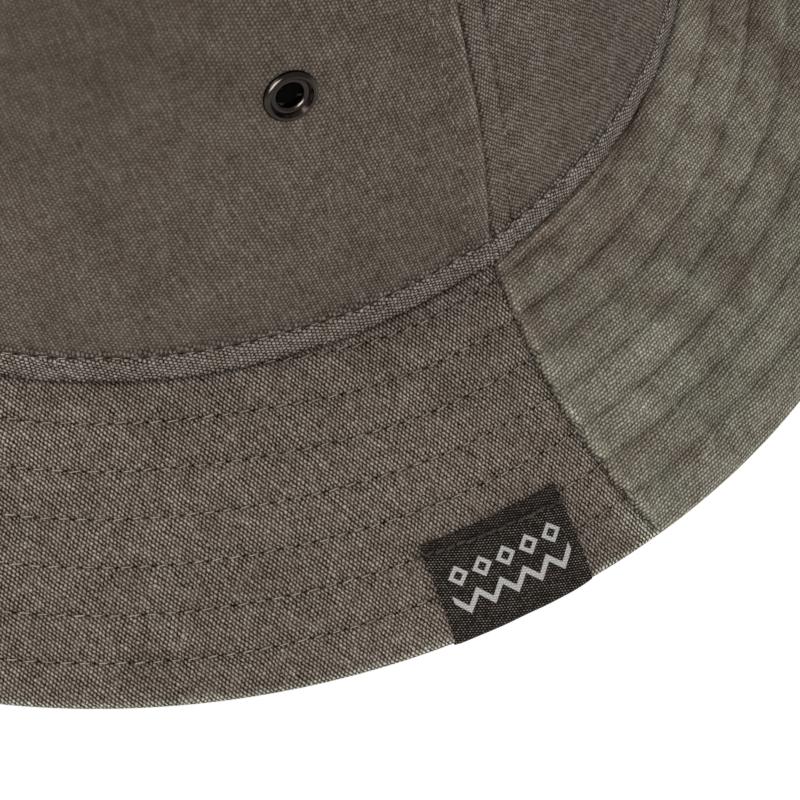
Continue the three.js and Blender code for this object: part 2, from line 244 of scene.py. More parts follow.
def wall_out(height):
    return wall_at(height, 0.0)[0]


def brim_out(width):
    return brim_at(width, 0.0)[0]


def under_depth(width):
    """How far below the brim's upper face its lower face is."""
    return BRIM_THICKNESS - (BRIM_THICKNESS + BRIM_LIFT - 2.0 * EDGE_RADIUS) * smooth(*PRESSED, width)


def under_at(width, lift):
    """Out and up, for a place on the brim's lower face. Lift is down from it."""
    return brim_at(width, -under_depth(width) - lift)


def inner_wall_at(height, lift):
    """Out and up, for a place inside the crown wall. Lift is in towards the head, from the outer face."""
    return wall_at(height, -lift)


def band_at(height, lift):
    """Out and up, for the sweatband's face. It stands over the seam allowances at its foot."""
    inset = BAND_FOOT_INSET + (BAND_HEAD_INSET - BAND_FOOT_INSET) * smooth(7.0, 15.0, height)
    return wall_at(height, -inset - BAND_THICKNESS - lift)


CROWN_OUT = wall_out(CROWN_HEIGHT)
BRIM_OUT = brim_out(BRIM_WIDTH)


# ---- cross-sections of a cloth, as places along it and lifts off its face ----


def section(*parts):
    """A cross-section through (along, lift) points: places, lifts, its face's lean, and cloth length."""
    points = np.concatenate(parts)
    steps = np.gradient(points, axis=0)
    lean = np.arctan2(-steps[:, 1], steps[:, 0])
    run = np.concatenate([[0.0], np.cumsum(np.linalg.norm(np.diff(points, axis=0), axis=1))])
    return {"along": points[:, 0], "lift": points[:, 1], "lean": lean, "run": run + points[0, 0]}


def roll(along, lift, radius, start, end, steps):
    """Points round a roll of this radius, whose middle is at along and lift - radius."""
    turn = np.radians(np.linspace(start, end, steps))
    return np.stack([along + radius * np.sin(turn), lift - radius + radius * np.cos(turn)], -1)


def level(low, high, step, lift=0.0):
    """Evenly spaced points along a cloth, both ends included."""
    along = np.linspace(low, high, round((high - low) / step) + 1)
    return np.stack([along, np.full_like(along, lift)], -1)


def half_angles(side, step, fine=0.25, reach=6.0):
    """Angles across half of the hat, a step in millimetres apart and finer near both side seams."""
    low, high = HALVES[side][0] + SEAM_GAP, HALVES[side][1] - SEAM_GAP
    mm_per_degree = 2.0
    near = np.arange(0.0, reach, fine) / mm_per_degree
    middle_low, middle_high = low + reach / mm_per_degree, high - reach / mm_per_degree
    count = round((middle_high - middle_low) * mm_per_degree / step)
    middle = np.linspace(middle_low, middle_high, count + 1)
    return np.radians(np.concatenate([low + near, middle, (high - near)[::-1]]))


def round_angles(step):
    """Angles all round the hat, about this many millimetres apart, without the last one."""
    count = round(2.0 * math.pi * HALF_LENGTH / step)
    return np.linspace(-math.pi, math.pi, count, endpoint=False)


# ---- meshes ----


def link(name, data):
    made = bpy.data.objects.new(name, data)
    bpy.context.scene.collection.objects.link(made)
    return made


def make_object(name, points, faces, corner_maps, marks):
    """A smooth-shaded object. corner_maps has a pair of numbers per face corner, marks one per point."""
    mesh = bpy.data.meshes.new(name)
    mesh.from_pydata((points * METRE).tolist(), [], faces.tolist())
    for map_name, values in corner_maps.items():
        layer = mesh.uv_layers.new(name=map_name)
        layer.uv.foreach_set("vector", np.ascontiguousarray(values, np.float32).ravel())
    for mark_name, values in marks.items():
        attribute = mesh.attributes.new(mark_name, "FLOAT", "POINT")
        attribute.data.foreach_set("value", np.ascontiguousarray(values, np.float32).ravel())
    mesh.shade_smooth()
    mesh.set_sharp_from_angle(angle=math.radians(50.0))
    return link(name, mesh)


def slab(name, outer, inner, maps, marks, kept=None, ring=False):
    """A closed piece of cloth between two grids of points. In a ring the last line joins the first."""
    lines, across = outer.shape[:2]
    count = lines * across
    corner = np.arange((lines + ring) * across).reshape(lines + ring, across)
    quads = np.stack([corner[:-1, :-1], corner[1:, :-1], corner[1:, 1:], corner[:-1, 1:]], -1)
    quads = quads[kept] if kept is not None else quads.reshape(-1, 4)
    a, b, c = (outer.reshape(-1, 3)[quads[:, k] % count] for k in range(3))
    outwards = (outer - inner).reshape(-1, 3)[quads[:, 0] % count]
    if (np.cross(b - a, c - a) * outwards).sum() <= 0.0:
        quads = quads[:, ::-1]
    edges = np.concatenate([quads[:, [k, (k + 1) % 4]] for k in range(4)])
    forward = (edges[:, 0] % count) * count + edges[:, 1] % count
    backward = (edges[:, 1] % count) * count + edges[:, 0] % count
    border = edges[~np.isin(forward, backward)]
    sides = np.concatenate([border[:, ::-1], border], 1)
    corners = np.concatenate([quads, quads[:, ::-1], sides])
    deep = np.zeros(corners.shape, bool)
    deep[len(quads):2 * len(quads)] = True
    deep[2 * len(quads):, 2:] = True
    used, vertices = np.unique(corners % count + deep * count, return_inverse=True)
    points = np.concatenate([outer.reshape(-1, 3), inner.reshape(-1, 3)])[used]
    corner_maps = {key: value.reshape(-1, 2)[corners.ravel()] for key, value in maps.items()}
    spread = {key: np.broadcast_to(value, (lines, across)).ravel() for key, value in marks.items()}
    point_marks = {key: np.tile(value, 2)[used] for key, value in spread.items()}
    return make_object(name, points, vertices.reshape(corners.shape), corner_maps, point_marks)


def flat_pattern(angles, along, turn_share, way, grain):
    """Where points lie on the flat cloth, turned so that its rows run along the first axis.

    turn_share is how much of the outline's turning stays in the flat pattern. way is 1 where along is to
    the left of increasing angles and -1 where it is to the right."""
    headings = turn_share * TABLE_FACING
    steps = np.diff(TABLE_LENGTH, prepend=TABLE_LENGTH[0])
    foot = [np.interp(angles, TABLE_ANGLES, np.cumsum(part(headings) * steps)) for part in (np.cos, np.sin)]
    heading = turn_share * facing(angles)
    flat = [foot[0] - way * np.sin(heading) * along, foot[1] + way * np.cos(heading) * along]
    pitch = way * math.radians(grain)
    sine, cosine = math.sin(pitch), math.cos(pitch)
    return np.stack([flat[0] * sine - flat[1] * cosine, flat[0] * cosine + flat[1] * sine], -1)


def cloth(name, at, angles, shape, thickness, *, bulge=None, maps=None, marks=None, kept=None, ring=False,
          skew=None):
    """A piece of cloth that follows the hat. shape is its cross-section, swept through the angles."""
    angle = angles[:, None] + (skew(angles[:, None], shape["along"]) if skew else 0.0)
    raised = bulge(angle, shape["along"]) if bulge else 0.0
    raised = np.broadcast_to(raised, (len(angles), len(shape["along"])))

    def face(lift):
        along = shape["along"] + (raised + lift) * np.sin(shape["lean"])
        return place(angle, *at(along, shape["lift"] + (raised + lift) * np.cos(shape["lean"])))

    return slab(name, face(0.0), face(-thickness), maps or {}, marks or {}, kept, ring)


def plain_map(angles, shape, ring=False):
    """Distances round the hat and along the cloth."""
    ends = np.concatenate([angles, angles[:1] + 2.0 * math.pi]) if ring else angles
    length = round_length(ends[:, None], np.zeros_like(shape["run"]))
    if ring:
        even = np.linspace(0.0, length.max() - length.min(), len(ends))
        length = np.broadcast_to(even[:, None], length.shape)
    return np.stack([length, np.broadcast_to(shape["run"], length.shape)], -1)


# ---- the relief that sewing gives the canvas ----


def row_width(number, angle):
    """Place across the brim of a row, counted from 0 at the edge."""
    ends = smooth(0.15, 0.62, np.abs(np.sin(angle)))
    first = ROW_FIRST[0] + (ROW_FIRST[1] - ROW_FIRST[0]) * ends
    pitch = ROW_PITCH[0] + (ROW_PITCH[1] - ROW_PITCH[0]) * ends
    return first - pitch * number


def row_out(number):
    """How far out from the head outline a row is taken to run, when its stitches are counted."""
    return brim_out(ROW_FIRST[1] - sum(ROW_PITCH) / 2.0 * number)


def nearest_row(angle, width):
    """The nearest row of the brim, and the distance out from it."""
    first = row_width(0, angle)
    pitch = first - row_width(1, angle)
    number = np.clip(np.round((first - width) / pitch), 0, ROW_COUNT - 1)
    return number, width - (first - pitch * number)


def from_seam(angle, out):
    """Distance from the nearer side seam: below 0 in front of it and above 0 behind it."""
    half = round_length(math.pi, out)
    length = round_length(angle, out)
    return np.where(np.abs(length) < half / 2.0, length, np.sign(length) * half - length)


def behind(seam):
    """0 in front of a side seam, 1 behind it."""
    return smooth(-0.3, 0.3, seam)


def seam_shift(width):
    """How far towards the front the side seam lies, as it crosses the brim."""
    share = np.clip(width / BRIM_WIDTH, 0.0, 1.0)
    return -5.2 * np.sin(math.pi * share) ** 0.9


def brim_seam(angle, width):
    """Distance past the nearer side seam of the brim."""
    return from_seam(angle, brim_out(width)) - seam_shift(width)


def brim_bulge(angle, width):
    """Lift of the brim's upper canvas: quilted between the rows, puckered, and nipped in at the seams."""
    length = round_length(angle, brim_out(width))
    seam = brim_seam(angle, width)
    back = behind(seam)
    distance = nearest_row(angle, width)[1]
    quilt = (0.30 + 0.22 * back) * (1.0 + 0.45 * patchy(length / 9.0, width / ROW_PITCH[1], 1))
    pillow = quilt * (1.0 - bell(distance, 1.1 + 0.3 * back)) - 0.12
    slant = length + 0.7 * width * (1.0 - 2.0 * back)
    pucker = patchy(slant / 6.0, width / 13.0, 2) * (0.12 + 0.30 * back)
    pucker = pucker + patchy(length / 23.0, width / 15.0, 3) * (0.18 + 0.22 * back)
    pucker = pucker + patchy(length / 3.6, width / 5.0, 20) * 0.22 * back
    nip = -0.45 * bell(seam, 0.6) + 0.45 * bell(seam - 1.8, 1.3) + 0.20 * bell(seam + 2.2, 1.6)
    end = smooth(-0.5, 1.5, width) * (1.0 - smooth(EDGE_MIDDLE - 1.5, EDGE_MIDDLE + 0.2, width))
    return (pillow + pucker + nip) * end


def under_bulge(angle, width):
    """Lift of the brim's lower canvas, which the same rows quilt."""
    length = round_length(angle, brim_out(width))
    distance = nearest_row(angle, width)[1]
    quilt = 0.45 * (1.0 + 0.4 * patchy(length / 10.0, width / 8.0, 4))
    pillow = quilt * (1.0 - bell(distance, 1.1)) - 0.12
    pucker = patchy(length / 15.0, width / 12.0, 5) * 0.15
    end = 1.0 - smooth(EDGE_MIDDLE - 2.5, EDGE_MIDDLE - 0.5, width)
    return (pillow + pucker - 0.5 * bell(brim_seam(angle, width), 0.7)) * end


def brim_skew(angle, width):
    """Turns the cloth near the side seams so that they wander across the brim and bulge between rows."""
    out = brim_out(width)
    scallop = 1.15 * np.cos(2.0 * math.pi * nearest_row(angle, width)[1] / ROW_PITCH[0])
    shift = (seam_shift(width) + scallop * smooth(3.0, 9.0, width)) * bell(from_seam(angle, out), 11.0)
    return np.sign(np.cos(angle)) * shift / (HALF_LENGTH + out)


def wall_bulge(angle, height):
    """Lift of the crown's canvas: the band at its foot, the seams and the soft waves of a washed hat."""
    length = round_length(angle, wall_out(height))
    seam = from_seam(angle, wall_out(height))
    foot_edge = FOOT_ROW + 0.75 + 0.25 * patchy(length / 2.5, 0.0, 6)
    foot = 0.95 * (1.0 - smooth(foot_edge - 0.5, foot_edge + 0.5, height))
    foot = foot * (1.0 + 0.2 * patchy(length / 6.0, 0.0, 7)) - 0.45 * bell(height - FOOT_ROW, 0.55)
    lines = bell(np.abs(seam) - SIDE_ROW, 0.6)
    ridge = 0.40 * (1.0 - smooth(3.2, 7.0, np.abs(seam)))
    joint = ridge - 0.30 * lines - 0.60 * bell(seam - 0.2, 0.5) + 0.25 * bell(seam + 0.8, 0.8)
    waves = 0.55 * patchy(length / 38.0, height / 30.0, 8) + 0.16 * patchy(length / 11.0, height / 13.0, 9)
    held = smooth(5.0, 16.0, height) * (1.0 - smooth(CROWN_HEIGHT - 14.0, CROWN_HEIGHT - 2.0, height))
    return foot + joint + waves * held


def stitch_period(out):
    """The stitch period nearest the driving one that goes a whole number of times into the row."""
    total = round_length(math.pi, out) - round_length(-math.pi, out)
    return total / np.round(total / STITCH_PERIOD)


def brim_row_map(angle, width):
    """Stitch number along the nearest row and distance in millimetres from it, for the needle holes."""
    row, distance = nearest_row(angle, width)
    out = row_out(row)
    return np.stack([round_length(angle, out) / stitch_period(out), distance], -1)


# ---- stitches ----

# A stitch from end to end: place along it, how far it is out of the cloth and how thick, in its radius.
STITCH_PLACES = np.array([-1.0, -0.8, -0.35, 0.35, 0.8, 1.0])
STITCH_DIP = np.array([-3.0, -0.7, 0.35, 0.35, -0.7, -3.0])
STITCH_THICK = np.array([0.55, 0.95, 1.0, 1.0, 0.95, 0.55])
STITCH_SIDES = 6


def stitches(name, middles, directions, normals, radius, length, seed):
    """A row of separate stitches, each a short thread that dips into the cloth at both ends."""
    rng = np.random.default_rng(seed)
    count = len(middles)
    side = np.cross(normals, directions)
    slant = rng.normal(0.0, 0.05, (count, 1)) + 0.09
    directions = directions + side * slant
    length = length * rng.uniform(0.86, 1.1, (count, 1, 1))
    line = middles[:, None] + directions[:, None] * STITCH_PLACES[:, None] * length / 2.0
    line = line + normals[:, None] * (STITCH_DIP * radius)[:, None]
    line = line + side[:, None] * rng.normal(0.0, 0.05, (count, 1, 1))
    turn = np.arange(STITCH_SIDES) * 2.0 * math.pi / STITCH_SIDES
    width = radius * STITCH_THICK * rng.uniform(0.85, 1.15, (count, 1))
    ring = side[:, None, None] * np.cos(turn)[:, None] + normals[:, None, None] * np.sin(turn)[:, None]
    points = line[:, :, None] + ring * width[:, :, None, None]
    index = np.arange(len(STITCH_PLACES) * STITCH_SIDES).reshape(-1, STITCH_SIDES)
    after = np.roll(index, -1, 1)
    walls = np.stack([index[:-1], index[1:], after[1:], after[:-1]], -1).reshape(-1, 4)
    first, last = index[0], index[-1]
    caps = [first[[0, 1, 2, 3]], first[[0, 3, 4, 5]], last[[3, 2, 1, 0]], last[[5, 4, 3, 0]]]
    one = np.concatenate([walls, caps])
    faces = (one[None] + np.arange(count)[:, None, None] * index.size).reshape(-1, 4)
    along = np.tile(np.repeat(STITCH_PLACES, STITCH_SIDES)[one].ravel(), count) * length.mean() / 2.0
    around = np.tile(np.tile(np.arange(STITCH_SIDES), len(STITCH_PLACES))[one].ravel(), count) * radius
    number = np.repeat(np.arange(count), one.size)
    thread_map = np.stack([along + number * STITCH_PERIOD, around], -1)
    return make_object(name, points.reshape(-1, 3), faces, {"thread": thread_map}, {})


def stitch_angles(out):
    """The angle at the middle of every stitch of a row that far out from the head outline."""
    period = stitch_period(out)
    half = round(round_length(math.pi, out) / period * 2.0) // 2
    return angle_at((np.arange(-half, half) + 0.5) * period, out)


def round_row(at, angle, along, lift):
    """Middles, directions and normals of stitches that run round the hat."""
    middle = place(angle, *at(along, lift))
    step = place(angle + 0.005, *at(along, lift)) - place(angle - 0.005, *at(along, lift))
    direction = step / np.linalg.norm(step, axis=-1, keepdims=True)
    return middle, direction, place(angle, *at(along, lift + 1.0)) - middle


def wall_frame(angle, height, lift):
    """A point of the crown wall, the step up the wall there, and the step out of it."""
    point = place(angle, *wall_at(height, lift))
    up = place(angle, *wall_at(height + 0.5, lift)) - place(angle, *wall_at(height - 0.5, lift))
    return point, up, place(angle, *wall_at(height, lift + 1.0)) - point


def join_rows(*rows):
    return [np.concatenate(parts) for parts in zip(*rows)]


# ---- node materials ----


def operator(operation, swapped=False):
    """A method for Term that puts this math node after it and the other value."""

    def method(term, other):
        pair = (other, term) if swapped else (term, other)
        return term.graph.math(operation, *pair)

    return method


class Term:
    """A node's output. Terms and numbers make formulas, and each step of a formula is a math node."""

    def __init__(self, graph, socket):
        self.graph = graph
        self.socket = socket

    __add__ = operator("ADD")
    __sub__ = operator("SUBTRACT")
    __rsub__ = operator("SUBTRACT", swapped=True)
    __mul__ = operator("MULTIPLY")
    __truediv__ = operator("DIVIDE")
    __pow__ = operator("POWER")

    def __abs__(self):
        return self.graph.math("ABSOLUTE", self)


class Graph:
    """Adds nodes to a new material. A value is a number, a vector, a colour or a Term."""

    def __init__(self, name):
        self.material = bpy.data.materials.new(name)
        self.material.use_nodes = True
        self.nodes = self.material.node_tree.nodes
        self.shader = self.nodes["Principled BSDF"]

    def put(self, socket, value):
        if isinstance(value, Term):
            self.material.node_tree.links.new(value.socket, socket)
        elif socket.type == "RGBA":
            socket.default_value = (*value, 1.0)
        else:
            socket.default_value = value

    def add(self, kind, *values, output=0, **settings):
        """Adds a node, fills in its first inputs and gives one of its outputs."""
        node = self.nodes.new(kind)
        for key, value in settings.items():
            setattr(node, key, value)
        for socket, value in zip(node.inputs, values):
            self.put(socket, value)
        return Term(self, node.outputs[output])

    def math(self, operation, *values):
        return self.add("ShaderNodeMath", *values, operation=operation)

    def vector(self, operation, *values):
        return self.add("ShaderNodeVectorMath", *values, operation=operation)

    def split(self, vector):
        """The first two numbers of a vector."""
        outputs = self.add("ShaderNodeSeparateXYZ", vector).socket.node.outputs
        return Term(self, outputs[0]), Term(self, outputs[1])

    def join(self, x, y):
        return self.add("ShaderNodeCombineXYZ", x, y)

    def map(self, name):
        return self.add("ShaderNodeUVMap", uv_map=name)

    def mark(self, name):
        return self.add("ShaderNodeAttribute", attribute_name=name, output="Fac")

    def place(self):
        return self.add("ShaderNodeTexCoord", output="Object")

    def noise(self, vector, scale, detail=2.0, output="Fac"):
        still = 0.0
        return self.add("ShaderNodeTexNoise", vector, still, scale, detail, output=output)

    def random(self, vector):
        return self.add("ShaderNodeTexWhiteNoise", vector, output="Value")

    def between(self, value, low, high, to_low=0.0, to_high=1.0):
        """Goes smoothly from one value to another as its input goes from low to high."""
        limits = (low, high, to_low, to_high)
        return self.add("ShaderNodeMapRange", value, *limits, interpolation_type="SMOOTHSTEP")

    def below(self, value, limit, blur):
        """1 below a limit and 0 above it, with a soft step."""
        return self.between(value, limit - blur, limit + blur, 1.0, 0.0)

    def mix(self, share, low, high, blend="MIX"):
        mixed = self.add("ShaderNodeMix", share, data_type="RGBA", blend_type=blend, output=2)
        self.put(mixed.socket.node.inputs[6], low)
        self.put(mixed.socket.node.inputs[7], high)
        return mixed

    def colour(self, red, green, blue):
        return self.add("ShaderNodeCombineColor", red, green, blue)

    def bump(self, height, distance, strength=1.0):
        node = self.nodes.new("ShaderNodeBump")
        for name, value in (("Strength", strength), ("Distance", distance), ("Height", height)):
            self.put(node.inputs[name], value)
        self.put(self.shader.inputs["Normal"], Term(self, node.outputs[0]))

    def finish(self, colour, roughness, **others):
        """others are further inputs of the shader, with their spaces as underscores."""
        self.put(self.shader.inputs["Base Color"], colour)
        self.put(self.shader.inputs["Roughness"], roughness)
        for key, value in others.items():
            self.put(self.shader.inputs[key.replace("_", " ")], value)
        return self.material


def grains(graph, flat, grain_pitch, row_pitch, wobble, slant=0.0, ribbed=1.0):
    """The rounded grains of a plain weave.

    Gives the height, from 0 in the gaps to 1, a random number for each grain, the row's number and the
    place along it. slant leans the grains and ribbed is how deep the gaps between the rows are."""
    for scale, share in ((0.16, 1.0), (1.1, 0.62)):
        waver = graph.vector("SUBTRACT", graph.noise(flat, scale, 2.0, "Color"), (0.5, 0.5, 0.5))
        reach = (wobble * share, wobble * share, 0.0)
        flat = graph.vector("ADD", flat, graph.vector("MULTIPLY", waver, reach))
    u, v = graph.split(flat)
    line = v / row_pitch
    row = graph.math("FLOOR", line)
    stagger = graph.math("FLOORED_MODULO", row, 2.0) * 0.5
    column = u / grain_pitch + stagger
    grain = graph.math("FLOOR", column)
    rand = graph.random(graph.join(grain + stagger, row))
    y = line - row - 0.5
    x = y * slant + (column - grain - 0.5)
    rib = graph.math("COSINE", y * math.pi) * ribbed + (1.0 - ribbed)
    knot = abs(graph.math("COSINE", x * math.pi)) ** 0.9 * 0.82 + 0.18
    return rib * knot, rand, row, u


def canvas(name, brown, green, contrast, grain_pitch=0.79, row_pitch=0.67, slant=0.3, ribbed=1.0):
    """Washed cotton canvas with needle holes along its stitched rows, shown with painted shade.

    Marks on the mesh: light brightens or darkens, tone goes from brown to green, crisp is the weave's
    contrast, worn how much its fibres stand up and sewn how much the needle holes show."""
    graph = Graph(name)
    flat = graph.map("cloth")
    height, rand, row, u = grains(graph, flat, grain_pitch, row_pitch, 0.9, slant, ribbed)
    yarn = graph.noise(graph.join(u * 0.22, row * 0.83), 1.0, 1.0)
    slub = graph.noise(graph.vector("MULTIPLY", flat, (1.3, 0.12, 0.0)), 1.0, 2.0)
    blotch = graph.noise(flat, 0.11, 3.0)
    fuzz = graph.noise(flat, 3.2, 3.0)
    clear = graph.between(graph.noise(flat, 0.40, 2.0), 0.36, 0.58, 0.82, 1.04)
    crisp = graph.mark("crisp") * clear

    gaps = (0.45 - height) * (crisp * contrast)
    speck = (rand - 0.5) * (graph.mark("crisp") * 0.52)
    shade = graph.math("MAXIMUM", 1.0 - gaps + speck, 0.06)
    shade = shade * (yarn * 0.80 + 0.60) * (slub * 0.60 + 0.70) * (blotch * 0.50 + 0.75)
    shade = shade * ((fuzz - 0.5) * (graph.mark("worn") * 2.2 + 0.9) + 1.0)

    number, distance = graph.split(graph.map("rows"))
    beside = abs(distance)
    sewn = graph.mark("sewn")
    # A painted shadow along each stitched row, and painted shade in each needle hole.
    line = graph.below(beside, 0.195, 0.145) * sewn
    between_holes = abs(graph.math("FRACT", number + 0.5) - 0.5)
    reach = (between_holes * 9.5) ** 2.0 + (beside / 0.27) ** 2.0
    pit = graph.below(reach, 0.5, 0.4) * sewn
    shade = shade * (line * -0.45 + 1.0) * (pit * -0.72 + 1.0)

    tone = graph.mark("tone") + (blotch * 0.6 - 0.30)
    dye = graph.mix(graph.between(tone, 0.1, 0.9), brown, green)
    shade = graph.math("MAXIMUM", shade, 0.02)
    colour = graph.mix(1.0, dye, graph.colour(shade, shade**1.10, shade**1.26), "MULTIPLY")
    # The light mark is mostly painted light and shade from the mesh, with wear and mottling.
    light = graph.mark("light")
    colour = graph.mix(1.0, colour, graph.colour(light, light, light), "MULTIPLY")
    graph.bump(height * crisp + fuzz * 0.5 - pit * 1.6, 0.00022, 0.9)
    return graph.finish(colour, 0.95, Specular_IOR_Level=0.0)


def thread_material(name, colour, dark):
    """Twisted sewing thread."""
    graph = Graph(name)
    along, around = graph.split(graph.map("thread"))
    twist = graph.math("SINE", along * 14.0 + around * 9.0)
    wear = graph.noise(graph.place(), 160.0, 3.0)
    graph.bump(twist, 0.00004)
    return graph.finish(graph.mix(twist * 0.22 + wear, dark, colour), 0.75, Specular_IOR_Level=0.02)


def twill(name, colour, dark, pitch, way=1.0):
    """Cloth with fine slanting ribs."""
    graph = Graph(name)
    flat = graph.map("cloth")
    u, v = graph.split(flat)
    wave = (u + v * way) * (2.0 * math.pi / pitch)
    cross = graph.math("SINE", u * (4.0 * math.pi / pitch))
    rib = graph.math("SINE", wave) + cross * 0.35
    blotch = graph.noise(flat, 0.15, 3.0)
    graph.bump(rib + graph.noise(flat, 3.0), 0.00012)
    colour = graph.mix(rib * 0.22 + blotch, dark, colour)
    return graph.finish(colour, 0.9, Sheen_Weight=0.1, Specular_IOR_Level=0.2)


def metal(name, colour, worn):
    """Dark plated metal, browner where its plating is worn."""
    graph = Graph(name)
    spot = graph.noise(graph.place(), 700.0, 4.0)
    rub = graph.between(graph.noise(graph.place(), 260.0, 3.0), 0.45, 0.75)
    graph.bump(spot, 0.00002)
    return graph.finish(graph.mix(rub, colour, worn), spot * 0.16 + 0.10, Metallic=1.0)


def woven_label(name, dark, dot, strip, mark):
    """A fine black label weave with a plain geometric motif: a row of lozenges over a zigzag."""
    graph = Graph(name)
    height, rand, _, _ = grains(graph, graph.map("cloth"), 0.62, 0.46, 0.15)
    ground = graph.mix(height**3.5 * (rand + 0.35), dark, dot)
    x, y = graph.split(graph.map("rows"))
    ground = graph.mix(graph.below(y, 2.9, 0.3) * 0.35, ground, strip)
    start = x - MOTIF_EDGE
    aside = (graph.math("FRACT", start / MOTIF_PITCH) - 0.5) * MOTIF_PITCH
    lozenge = abs(aside) + abs(y - LOZENGE_MIDDLE)
    ring = graph.below(abs(lozenge - LOZENGE_SIZE), 0.52, 0.06)
    fold = graph.math("PINGPONG", start, MOTIF_PITCH / 2.0) * ZIGZAG_SLOPE
    bar = graph.below(abs(y - (fold + ZIGZAG_HEAD)), 0.75, 0.07)
    inside = graph.between(start, -0.1, 0.1) * graph.below(start, MOTIF_COUNT * MOTIF_PITCH, 0.1)
    motif = graph.math("MAXIMUM", ring, bar) * inside
    graph.bump(height + motif * 0.6, 0.00010)
    colour = graph.mix(motif * (height * 0.45 + 0.5), ground, mark)
    return graph.finish(colour, 0.8, Specular_IOR_Level=0.01)


def satin(name, colour, dark):
    """Blank satin of a care label."""
    graph = Graph(name)
    u, v = graph.split(graph.map("cloth"))
    streak = graph.noise(graph.join(u * 6.0, v * 0.25), 1.0, 2.0)
    graph.bump(streak, 0.00006)
    return graph.finish(graph.mix(streak, dark, colour), 0.4, Sheen_Weight=0.2, Anisotropic=0.4)


def fleece(name, colour, dark):
    """Stiff non-woven interlining."""
    graph = Graph(name)
    fibre = graph.noise(graph.place(), 900.0, 4.0)
    graph.bump(fibre, 0.0001)
    return graph.finish(graph.mix(fibre, dark, colour), 0.95)


BROWN = (0.144, 0.115, 0.091)
GREEN = (0.178, 0.164, 0.127)
BRIM_WEAVE = {
    "front": canvas("front brim canvas", BROWN, GREEN, 2.8),
    "back": canvas("back brim canvas", BROWN, GREEN, 3.0, slant=-0.15),
}
CROWN_WEAVE = canvas("crown canvas", (0.091, 0.073, 0.057), (0.096, 0.081, 0.064), 2.6,
                     grain_pitch=0.86, row_pitch=0.69, slant=0.05, ribbed=0.7)
THREAD = thread_material("sewing thread", (0.47, 0.42, 0.35), (0.14, 0.115, 0.09))
BLACK_THREAD = thread_material("black thread", (0.115, 0.097, 0.083), (0.003, 0.002, 0.002))
BAND_TWILL = twill("sweatband twill", (0.105, 0.088, 0.072), (0.060, 0.050, 0.041), 0.9)
TAPE_TWILL = twill("seam tape twill", (0.090, 0.076, 0.063), (0.048, 0.040, 0.034), 1.3, -1.0)
GUNMETAL = metal("gunmetal", (0.021, 0.018, 0.016), (0.038, 0.026, 0.021))
LABEL_WEAVE = woven_label("label weave", dark=(0.004, 0.003, 0.002), dot=(0.230, 0.195, 0.165),
                          strip=(0.016, 0.011, 0.009), mark=(0.62, 0.61, 0.59))
CARE_SATIN = satin("care label satin", (0.78, 0.77, 0.74), (0.60, 0.59, 0.56))
STIFFENER = fleece("interlining fleece", (0.55, 0.53, 0.50), (0.35, 0.34, 0.32))


def dress(made, material, slot, body, *nodes):
    """Gives a piece its material, hangs it from the body's empty and hides the CAD parts it stands for."""
    made.data.materials.append(material)
    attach(made, body)
    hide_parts(*nodes)


# ---- brim ----

BRIM_TURN = math.cos(math.radians(sum(BRIM_SLOPE) / 2.0))
WALL_TURN = math.sin(math.radians(sum(CROWN_LEAN) / 2.0))


def brim_marks(angle, along):
    """Colouring of the brim, with painted light and shade: the back is greener and browner in its valleys,
    worn and painted lighter where it is folded.
    """
    length = round_length(angle, brim_out(along))
    raised = brim_bulge(angle, along)
    seam = brim_seam(angle, along)
    back = behind(seam)
    edge = smooth(EDGE_MIDDLE - 0.9, EDGE_MIDDLE + 0.2, along)
    # Wear and a painted highlight behind the seam and along the rolled edge.
    wear_and_painted_light = 0.18 * bell(seam - 1.0, 0.7) * back + 0.30 * edge + 0.30 * edge * bell(seam, 5.0)
    # Painted shade in the seam's groove, ragged along it, and in the crease where the brim meets the crown.
    ragged = 1.0 + 0.6 * patchy(along / 1.7, 0.0, 22)
    groove = -0.42 * ragged * bell(seam, 0.35) - 0.78 * (1.0 - smooth(0.3, 1.7, along))
    # Painted shade along the rows at the back, and painted light and shade that follow the quilting: lighter
    # where it is raised, darker in its valleys.
    beside = nearest_row(angle, along)[1] + 0.15 * patchy(length / 4.0, 0.0, 21)
    painted_row_shade = -0.25 * back * bell(beside, 0.30)
    painted_relief_light = (raised - 0.20) * 0.28
    cloud = 0.05 * patchy(length / 17.0, along / 9.0, 11)
    # The bulge in front of the seam near the edge gets a painted highlight and a greener tone.
    corner = bell(seam + 2.2, 2.5) * smooth(48.0, 57.0, along)
    light = 1.0 + wear_and_painted_light + groove + painted_row_shade + painted_relief_light + cloud + 0.32 * corner
    # Painted shade darkens the front of the brim; the cloth near the crown is made lighter, more at the
    # back.
    near = 1.0 - smooth(5.0, 30.0, along)
    light = light * (1.04 - 0.13 * smooth(0.35, 0.75, -np.sin(angle)) + (0.06 + 0.12 * back) * near)
    patch = 0.20 * patchy(length / 6.0, along / 5.0, 18) + 0.08 * patchy(length / 16.0, along / 12.0, 19)
    outer = smooth(0.0, 45.0, along)
    green = back * (0.25 + 0.38 * outer + 0.15 * (raised - 0.25) + patch)
    return {
        "light": light,
        "tone": 0.10 + green + 0.70 * edge + 0.60 * corner,
        "crisp": 1.0 - back * (0.52 - 0.10 * outer),
        "worn": back * (1.0 - 0.6 * outer),
        "sewn": 1.0 - 0.75 * back,
    }


